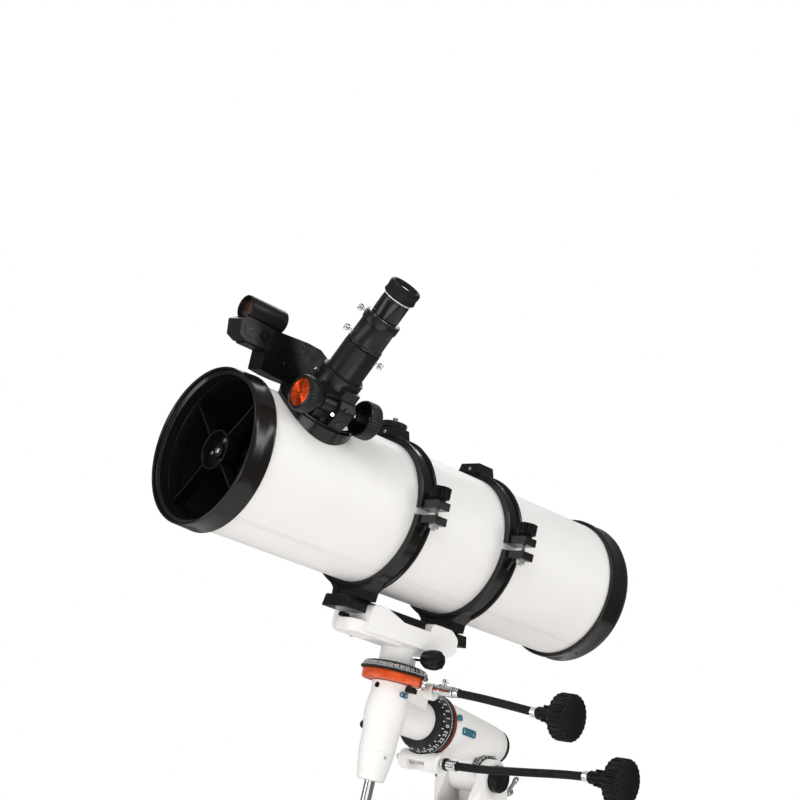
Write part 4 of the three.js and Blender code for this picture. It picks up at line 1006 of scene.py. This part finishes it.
def make_latitude_scale():
    """A curved black scale with white marks stands on the hub, between it and the cheek."""
    inner, outer, low, high = 19, 28, 15.4, 21.2
    section = [(inner, low), (outer, low), (outer, high), (inner, high)]
    rows = []
    for k in range(61):
        t = math.radians(28 + 128 * k / 60)
        rows.append([(x, r * math.cos(t), r * math.sin(t)) for r, x in section])
    to_latitude = on(BASE, "latitude")
    to_latitude("latitude_scale", from_rings(rows, caps=True), satin_black, bevel=0.5)
    marks = []
    for k in range(22):
        angle = 33 + 118 * k / 21
        tall = 2.3 if k % 3 == 0 else 1.3
        on_rim = block((high - 0.4 - 2 * tall, high - 0.5), (-0.4, 0.4), (outer - 0.2, outer + 0.12))
        on_face = block((high - 0.2, high + 0.12), (-0.4, 0.4), (outer - 0.6 - 2 * tall, outer - 0.7))
        marks += [moved(mark, spin(angle - 90, "X")) for mark in (on_rim, on_face)]
    to_latitude("latitude_scale_marks", together(*marks), ink_white)


# ---- Slow motions -----------------------------------------------------------------------------
def make_slow_motion(axis, at, tail, route, cable_body, reach, ends_from):
    """A worm, its coupling, the cable and the fluted hand wheel of one axis."""
    full_name = {"ra": "right_ascension", "dec": "declination"}[axis]
    worm_body, here, start = f"{axis}_worm", POLAR @ shift(*at), route[0][0]
    screw = together(worm(5.2, 1.5, 2.6, -16, 16, "x"), rod(3.6, tail, -15, "x", 40, 0.6), rod(3.6, 15, 34,
        "x", 40))
    to_worm = on(here, worm_body)
    to_worm(f"{full_name}_worm", screw, bolt_steel, "chrome", f"{axis}_worm")
    coupling = turned([(5.8, 30.6), (6.4, 31.2), (6.4, 34.2), (6.0, 34.6), (6.0, start - 3),
        (6.3, start - 2.6), (6.3, start - 0.9), (5.8, start - 0.3)], "x", 72)
    to_worm(f"{full_name}_coupling", coupling, chrome, bevel=0.15)
    collar = sleeve(6.0, 7.2, 34.8, 38.4, "x", 72)
    to_worm(f"{full_name}_collar", collar, satin_black if axis == "ra" else chrome, bevel=0.4)
    if axis == "dec":
        grub = moved(thumb_screw(2.6), facing(43, 6, 0.6, (0, 1, 0.1)))
        to_worm(f"{full_name}_thumb_screw", grub, chrome)
    sheath = hose(route, 4.8, wave=0.12, waves=220)
    to_cable = on(POLAR, cable_body)
    to_cable(f"{full_name}_cable", sheath, rubber_black, "black_rubber", f"{axis}_cable")
    ends = [(start + 0.4, route[0]), (route[-1][0] - 7.6, route[-1])][ends_from:]
    ferrules = [moved(turned([(5.1, x), (5.5, x + 0.5), (5.5, x + 6.4), (5.1, x + 6.9)], "x", 48),
        shift(0, *spot[1:])) for x, spot in ends]
    to_cable(f"{full_name}_ferrules", together(*ferrules), chrome, bevel=0.2)
    near, middle, far = reach
    grip = turned([(17, middle), (19.4, middle + 0.5), (24.4, middle + 1.2, 0.6), (25.9, middle + 3, 1),
        (26.2, middle + 6, 1), (26.2, far - 4, 1), (25.6, far - 1.8, 1), (24, far - 0.7, 0.5),
        (22.6, far - 0.2, 0), (22, far - 0.5, 0), (0, far - 0.3)], "x", 384, flutes=24, depth=1.9)
    stem = turned([(6.4, near), (7.2, near + 0.8), (7.4, near + 6), (8.2, near + 9), (8.6, near + 16),
        (10.4, middle - 3), (11.6, middle + 1)], "x", 72)
    ribs = [moved(block((near + 9, middle + 0.5), (-0.8, 0.8), (8, 10.4)), spin(60 * k, "X"))
        for k in range(6)]
    piece(f"{full_name}_hand_wheel", together(grip, stem, *ribs), POLAR @ shift(0, *route[-1][1:]),
        moulded_black, f"{axis}_slow_knob", GLOSS, f"{axis}_slow_knob", 0.35)


def make_slow_motions():
    y, z = RA_WORM[1:]
    route = [(52, y, z), (90, y + 2, z), (140, y + 6.5, z), (190, y + 11.5, z), (226, y + 14, z)]
    make_slow_motion("ra", RA_WORM, -34, route, "latitude", (226.6, 254.5, 276), ends_from=1)
    y, z = DEC_WORM[1:]
    route = [(57, y, z), (95, y - 2, z), (135, y - 5.2, z), (172, y - 8.5, z)]
    make_slow_motion("dec", DEC_WORM, -24, route, "right_ascension", (172.6, 198.5, 221), ends_from=0)


def make_ra_lock():
    at = POLAR @ shift(y=-2) @ spin(-25, "Y") @ spin(200)
    grip = turned([(4.6, 32), (5.2, 33), (6, 37), (5.6, 44), (4.6, 51), (3, 53.6), (0, 54)], "x", 48)
    to_ra_lock = on(at, "ra_lock")
    to_ra_lock("right_ascension_lock_grip", grip, moulded_black, GLOSS, "ra_lock_lever")
    to_ra_lock("right_ascension_lock_screw", rod(3.3, 29, 33, "x", 32), bolt_steel, bevel=0.3)


WEIGHT_Y, WEIGHT_HALF = -233, 29


def make_counterweight():
    shaft = turned([(6.6, -300), (8.2, -299), (8.2, -297), (6.2, -296), (6, -295.4), (6, -80.9),
        (6, -60.4)], "y", 72)
    piece("counterweight_bar", shaft, POLAR, chrome, "right_ascension", "chrome", "counterweight_shaft")
    low, high = WEIGHT_Y - WEIGHT_HALF, WEIGHT_Y + WEIGHT_HALF
    mass = turned([(6.4, low), (16, low), (17, low + 1.2), (38, low + 1.2), (42, low + 2.4), (46, low + 7),
        (46, high - 7), (42, high - 2.4), (38, high - 1.2), (17, high - 1.2), (16, high), (6.4, high)], "y",
        128, ends="joined")
    mass = cut(mass, moved(rod(4.3, 0, 60, "x"), shift(y=WEIGHT_Y)))
    piece("counterweight_casting", mass, POLAR, cast_white, "counterweight", "white_paint", "counterweight",
        0.6)
    at = POLAR @ shift(y=WEIGHT_Y)
    knob = turned([(6, 54), (8.6, 55, 0.3), (11.4, 57.4, 1), (12, 60, 1), (12, 66, 1), (10.8, 69, 0.4),
        (8.6, 70), (0, 69.4)], "x", 128, flutes=8, depth=2.0)
    to_counterweight_lock = on(at, "counterweight_lock")
    to_counterweight_lock("counterweight_knob", knob, moulded_black, GLOSS, "counterweight_lock_knob", 0.3)
    to_counterweight_lock("counterweight_knob_screw", worm(3.9, 0.35, 1.25, 6.9, 56, "x"), bolt_steel)


# ---- Azimuth base -----------------------------------------------------------------------------
BOLT_Z, AZIMUTH_LOCK_Z = -36, -87.7


def make_azimuth_base():
    dome = [(22 * math.cos(math.radians(a)), 22 * math.sin(math.radians(a))) for a in range(174, 4, -4)]
    cheeks = plate([(-46, -58), (-46, -30)] + dome + [(42, -30), (42, -58)], -34, 34, "yz")
    oval = moved(plate(ellipse(41, 48), -80, 30), shift(y=-2))
    cheeks = carved("INTERSECT", cheeks, oval)
    column = turned([(37.2, -109.7), (38, -109), (38, -101.4), (37.2, -100.7), (31.6, -97.4), (29, -93.6),
        (28, -80), (28.2, -64), (31, -50)], "z", 128)
    body = cut(joined(cheeks, column), block((-21.8, 21.8), (-38, 34), (-50, 40)), block((-21.8, 21.8),
        (-60, 60), (-26, 40)), rod(6.4, -60, 60, "x"), moved(rod(4.4, -80, 80, "y"), shift(z=BOLT_Z)),
        rod(8, -115, -78, steps=64))
    to_azimuth = on(BASE, "azimuth")
    to_azimuth("azimuth_body", body, cast_white, "white_cast", "azimuth_base", 1.0)
    caps = turned([(11.6, -46), (14.4, -45.2), (16, -43), (16, -34.4), (6, -34.4), (6, 34.4), (16, 34.4),
        (16, 43), (14.4, 45.2), (11.6, 46)], "x", 96)
    to_azimuth("latitude_pivot_caps", caps, moulded_black, GLOSS, "latitude_pivot_bolt", 0.5)
    rings = together(sleeve(11.8, 12.6, 45.9, 46.25, "x"), sleeve(11.8, 12.6, -46.25, -45.9, "x"))
    to_azimuth("latitude_pivot_lines", rings, gloss_black)
    for end, start, stop, grip_y in (("front", -72, -9.5, -70), ("rear", 9.5, 78, 76)):
        bar = turned([(0, -24), (2.6, -23.6), (3.4, -22), (3.4, -18), (2.4, -14), (2.4, 14), (3.4, 18),
            (3.4, 22), (2.6, 23.6), (0, 24)], "z", 40)
        bar = moved(bar, spin(35, "Y"), shift(0, grip_y, BOLT_Z))
        collar = moved(rod(5.2, grip_y - 4.5, grip_y + 4.5, "y", 40, 0.6), shift(z=BOLT_Z))
        thread = moved(worm(4.0, 0.4, 1.5, start, stop, "y"), shift(z=BOLT_Z))
        piece(f"latitude_bolt_{end}_screw", together(thread, collar, bar), BASE, bolt_steel,
            f"latitude_bolt_{end}", "steel", f"latitude_bolt_{end}")
    at = BASE @ shift(z=AZIMUTH_LOCK_Z)
    knob = turned([(6, 44), (8, 45, 0.3), (10.6, 47.4, 1), (11, 50, 1), (11, 56, 1), (9.8, 59, 0.4),
        (7.6, 60), (0, 59.4)], "x", 128, flutes=8, depth=1.8)
    to_azimuth_lock = on(at, "azimuth_lock")
    to_azimuth_lock("azimuth_knob", knob, moulded_black, GLOSS, "azimuth_lock_knob", 0.3)
    to_azimuth_lock("azimuth_knob_screw", rod(3.4, 30, 46, "x", 32), bolt_steel, bevel=0.3)


# ---- Tripod -----------------------------------------------------------------------------------
LEGS = {"a": -90, "b": 30, "c": 150}
SPREAD, REACH, TRAY_LUG, CLAMP_Z = 26, 817.76, 298.11, -412
HIP = (62, 0, 735)  # the leg's hinge, from the middle of the tripod


def make_tripod_head():
    core = turned([(33, 706), (34, 707), (34, 742), (36, 745), (51, 746), (52, 747), (52, 759), (51, 760)],
        "z", 128)
    lugs = [moved(plate(rounded([(26, 712, 0), (66, 712, 8), (74, 720, 8), (74, 748, 5), (66, 754, 5),
        (26, 754, 0)]), -26, 26, "xz"), spin(turn)) for turn in LEGS.values()]
    cuts = [moved(block((40, 90), (-18, 18), (700, 750)), spin(turn)) for turn in LEGS.values()]
    cuts += [moved(rod(4.3, -40, 40, "y", 40), shift(*HIP), spin(turn)) for turn in LEGS.values()]
    body = cut(joined(core, *lugs), *cuts, rod(6.4, 690, 780))
    to_tripod = on(FLOOR, "tripod")
    to_tripod("tripod_top", body, satin_black, SATIN, "tripod_head", 1.0)
    knob = turned([(5, 672), (6, 673), (12, 678, 0.4), (14, 682, 1), (14, 694, 1), (12.4, 698, 0.3),
        (9, 700), (9, 705.7), (5.9, 705.7), (5.9, 770)], "z", 160, flutes=10, depth=1.8)
    to_tripod("centre_bolt", knob, moulded_black, bevel=0.3)


def make_leg(letter, azimuth):
    at = FLOOR @ spin(azimuth) @ shift(*HIP) @ spin(-SPREAD, "Y")
    tube = turned([(14.2, -430), (15.6, -430), (16, -429.4), (16, -50), (14.2, -50)], "z", 96,
        ends="joined")
    to_leg = on(at, f"leg_{letter}")
    to_leg(f"leg_{letter}_tube", tube, leg_steel, "steel", f"upper_leg_{letter}")
    top = joined(rod(13.4, -17.4, 17.4, "y", 72), block((-13.4, 13.4), (-17.4, 17.4), (-40, 0)),
        turned([(18.2, -66), (19.5, -64.6), (19.5, -34), (17.4, -30)], "z", 96))
    top = cut(top, rod(16.05, -70, -50, steps=72), rod(4.2, -30, 30, "y", 40))
    to_leg(f"leg_{letter}_hinge", top, moulded_black, bevel=1.0)
    bolt = together(rod(4, -30, 30, "y", 32), *[rod(7, a, b, "y", 6) for a, b in ((-31, -26.4),
        (26.4, 31))])
    to_leg(f"leg_{letter}_pivot_bolt", bolt, bolt_steel, bevel=0.4)
    clamp = turned([(16.05, -430.4), (18.6, -430.4), (19.5, -429), (19.5, -424), (18.9, -423), (18.9, -399),
        (19.5, -398), (19.5, -394), (18.2, -392), (16.05, -392)], "z", 96, ends="joined")
    clamp = cut(clamp, moved(rod(4.6, 10, 30, "x", 40), shift(z=CLAMP_Z)))
    to_leg(f"leg_{letter}_clamp", clamp, moulded_black, bevel=0.4)
    lug = together(plate(rounded([(-33, -378, 6), (-33, -362, 6), (-15.2, -356, 1), (-15.2, -384, 1)]), -5,
        0.4, "xz"), sleeve(16.05, 17.6, -384, -356, "z"))
    pin = moved(turned([(4.6, -6.4), (5, -5.9), (3, -5), (3, 5.8), (0, 6.2)], "y", 32), shift(-25, 0, -370))
    to_leg(f"leg_{letter}_brace_lug", lug, moulded_black, bevel=0.4)
    to_leg(f"leg_{letter}_brace_pin", pin, bolt_steel)
    lower = turned([(12.2, -REACH + 12), (13.6, -REACH + 12), (13.6, -331), (13, -330), (12.2, -330)], "z",
        96, ends="joined")
    to_lower_leg = on(at, f"lower_leg_{letter}")
    to_lower_leg(f"leg_{letter}_lower_tube", lower, leg_steel, "steel", f"lower_leg_{letter}")
    ferrule = turned([(15.2, -REACH + 10), (15.6, -REACH + 12), (15.2, -REACH + 34), (13.65, -REACH + 37)],
        "z", 72)
    foot = moved(turned([(18.4, 0), (19.6, 1), (20, 3), (19.4, 9), (18.2, 9.8), (18, 12), (18.2, 13),
        (15.5, 24), (12, 27)], "z", 96), spin(SPREAD, "Y"), shift(z=-REACH))
    to_lower_leg(f"leg_{letter}_foot", together(foot, ferrule), rubber_black, bevel=0.3)
    hole = at @ shift(z=CLAMP_Z)
    knob = turned([(5, 24), (6.4, 25, 0.3), (10, 27, 1), (11, 29, 1), (11, 34, 1), (10, 37, 0.4), (8, 38),
        (0, 37.4)], "x", 96, flutes=6, depth=2.4)
    to_lock = on(hole, f"leg_lock_{letter}")
    to_lock(f"leg_{letter}_knob", knob, moulded_black, GLOSS, f"leg_lock_knob_{letter}", 0.3)
    to_lock(f"leg_{letter}_knob_screw", rod(2.8, 16.2, 26, "x", 24), bolt_steel, bevel=0.2)


def make_brace(letter, azimuth):
    at = FLOOR @ spin(azimuth) @ shift(201.7, 0, 391.5) @ spin(150, "Y")
    length = 186.7
    half = [(8 * math.sin(math.radians(a)), 8 * math.cos(math.radians(a))) for a in range(0, 181, 10)]
    outline = [(length + x, z) for x, z in half] + [(-x, -z) for x, z in half]
    holes = [moved(rod(3.4, -2, 9, "y", 32), shift(x)) for x in (0, length)]
    dent = plate(rounded([(24, -4.4, 4), (length - 24, -4.4, 4), (length - 24, 4.4, 4), (24, 4.4, 4)]), 4.4,
        7, "xz")
    bar = cut(plate(outline, 1, 5.2, "xz"), dent, *holes)
    piece(f"brace_{letter}_bar", bar, at, satin_black, f"brace_{letter}", SATIN, f"brace_{letter}", 0.4)


def make_tray():
    floor = TRAY_LUG + 18
    disc = turned([(114.4, floor), (115, floor + 0.6), (115, floor + 3.4), (114.4, floor + 4)], "z", 160)
    cuts = []
    for azimuth in LEGS.values():
        cuts.append(moved(joined(block((46, 140), (-22, 22), (floor - 2, floor + 6)),
            moved(rod(22, floor - 2, floor + 6, steps=64), shift(46))), spin(azimuth)))
        for across in (-19, 19):
            cuts.append(moved(rod(16.2, floor - 2, floor + 6, steps=64), shift(88, across),
                spin(azimuth + 60)))
    hub = turned([(4, floor - 10), (15, floor - 10), (16, floor - 9), (16, floor + 1), (4, floor + 1)], "z",
        72, ends="joined")
    lugs = []
    for azimuth in LEGS.values():
        outline = rounded([(8, TRAY_LUG + 6, 0), (32, TRAY_LUG + 6, 3), (32, TRAY_LUG - 8, 5),
            (46, TRAY_LUG - 8, 5), (46, floor - 2, 2), (8, floor - 2, 0)])
        lugs.append(moved(plate(outline, -5, 0.5, "xz"), spin(azimuth)))
        lugs.append(moved(rod(3, 0, 6.2, "y", 24), shift(40, 0, TRAY_LUG), spin(azimuth)))
    to_tray = on(FLOOR, "tray")
    to_tray("tray_plate", cut(disc, *cuts), moulded_black, GLOSS, "accessory_tray", 0.8)
    to_tray("tray_lugs", together(hub, *lugs), moulded_black, bevel=0.4)
    cap = turned([(0, floor + 7), (6, floor + 6.6), (7, floor + 5), (7, floor + 4.05)])
    to_tray("tray_screw", cap, bolt_steel)


# ---- Floor, light and camera ------------------------------------------------------------------
FLOOR_RADIUS = 1500


def make_floor():
    shape = rod(FLOOR_RADIUS, -0.02, -4, steps=128)
    shape.transform(FLOOR)
    mesh = bpy.data.meshes.new("floor")
    shape.to_mesh(mesh)
    shape.free()
    mesh.materials.append(finish_of("floor_paint", grey(0.82, WARM), grey(0.84, WARM), (0.7, 0.8),
        (300, 0.02), specular=0.2, blotch=2))
    floor = bpy.data.objects.new("floor", mesh)
    bpy.context.scene.collection.objects.link(floor)


def make_world():
    """Seen directly the background is white; as light it is a soft sky, brightest overhead."""
    world = bpy.data.worlds.new("studio")
    bpy.context.scene.world = world
    world.use_nodes = True
    tree = world.node_tree
    tree.nodes.clear()
    where = tree.nodes.new("ShaderNodeTexCoord").outputs["Generated"]
    split = tree.nodes.new("ShaderNodeSeparateXYZ")
    tree.links.new(where, split.inputs["Vector"])
    stops = tree.nodes.new("ShaderNodeValToRGB")
    spread = tree.nodes.new("ShaderNodeMapRange")
    spread.inputs["From Min"].default_value = -1
    tree.links.new(split.outputs["Z"], spread.inputs["Value"])
    tree.links.new(spread.outputs["Result"], stops.inputs["Fac"])
    ends = stops.color_ramp.elements
    ends[0].color, ends[1].color = (0.50, 0.47, 0.45, 1), (0.95, 0.95, 0.95, 1)
    soft = tree.nodes.new("ShaderNodeBackground")
    rays = tree.nodes.new("ShaderNodeLightPath")
    dim = tree.nodes.new("ShaderNodeMapRange")
    dim.inputs["To Min"].default_value, dim.inputs["To Max"].default_value = AMBIENT, AMBIENT * MIRRORED
    tree.links.new(rays.outputs["Is Glossy Ray"], dim.inputs["Value"])
    tree.links.new(dim.outputs["Result"], soft.inputs["Strength"])
    tree.links.new(stops.outputs["Color"], soft.inputs["Color"])
    white = tree.nodes.new("ShaderNodeBackground")
    white.inputs["Color"].default_value = (1, 1, 1, 1)
    mix = tree.nodes.new("ShaderNodeMixShader")
    tree.links.new(rays.outputs["Is Camera Ray"], mix.inputs["Fac"])
    tree.links.new(soft.outputs["Background"], mix.inputs[1])
    tree.links.new(white.outputs["Background"], mix.inputs[2])
    output = tree.nodes.new("ShaderNodeOutputWorld")
    tree.links.new(mix.outputs["Shader"], output.inputs["Surface"])


def lamp(name, at, size, power, tint=(1, 1, 1)):
    """An area light aimed at the tube; at is in metres from the tube's centre."""
    light = bpy.data.lights.new(name, "AREA")
    light.shape, light.size, light.size_y = "RECTANGLE", size[0], size[1]
    light.energy, light.color = power, tint
    obj = bpy.data.objects.new(name, light)
    obj.location = tube_centre + Vector(at)
    obj.rotation_euler = Vector(at).to_track_quat("Z", "Y").to_euler()
    bpy.context.scene.collection.objects.link(obj)


AMBIENT, MIRRORED = 0.60, 0.40  # the sky as light, and its share in reflections
VIEW_AZIMUTH, VIEW_ELEVATION = 38.3, 1.83
VIEW_DISTANCE, VIEW_RIGHT, VIEW_UP = 2096.0, -29.8, 155.1
LENS, SENSOR = 81.56, 36


def view_axes():
    az, el = math.radians(VIEW_AZIMUTH), math.radians(VIEW_ELEVATION)
    back = Vector((math.cos(el) * math.sin(az), -math.cos(el) * math.cos(az), math.sin(el)))
    right = Vector((math.cos(az), math.sin(az), 0))
    return right, back.cross(right), back


def make_camera():
    right, above, back = view_axes()
    camera = bpy.data.cameras.new("camera")
    camera.lens, camera.sensor_width = LENS, SENSOR
    camera.clip_end = 100
    obj = bpy.data.objects.new("camera", camera)
    spot = tube_centre + (back * VIEW_DISTANCE + right * VIEW_RIGHT + above * VIEW_UP) * MM
    obj.matrix_world = Matrix.Translation(spot) @ Matrix((right, above, back)).transposed().to_4x4()
    bpy.context.scene.collection.objects.link(obj)
    bpy.context.scene.camera = obj


def make_lights():
    right, above, back = view_axes()
    lamp("key", back * 1.6 - right * 0.5 + above * 2.4, (1.6, 1.2), 29)
    lamp("left", -right * 2.2 + back * 0.9 + above * 0.3, (0.8, 2.0), 14)
    lamp("right", right * 2.3 + back * 0.8 + above * 0.6, (0.35, 2.0), 14)
    lamp("front", back * 2.6 + above * 0.2, (2.6, 1.2), 9)
    lamp("low", back * 2.0 - above * 0.9, (2.2, 0.8), 15)
    lamp("behind", -back * 2.0 + above * 1.4, (2.0, 1.2), 20)


make_tube()
make_front_cell()
make_spider()
make_rear_cell()
for which, centre in RING_CENTRES.items():
    make_ring(which, centre)
make_pads()
make_focuser()
make_eyepiece()
make_finder()
make_saddle()
make_dovetail()
make_declination_head()
make_declination_housing()
make_ra_dial()
make_polar_housing()
make_slow_motions()
make_ra_lock()
make_counterweight()
make_azimuth_base()
make_tripod_head()
for letter, azimuth in LEGS.items():
    make_leg(letter, azimuth)
    make_brace(letter, azimuth)
make_tray()
make_floor()
make_world()
make_lights()
make_camera()
bpy.context.scene.view_settings.view_transform = "Standard"
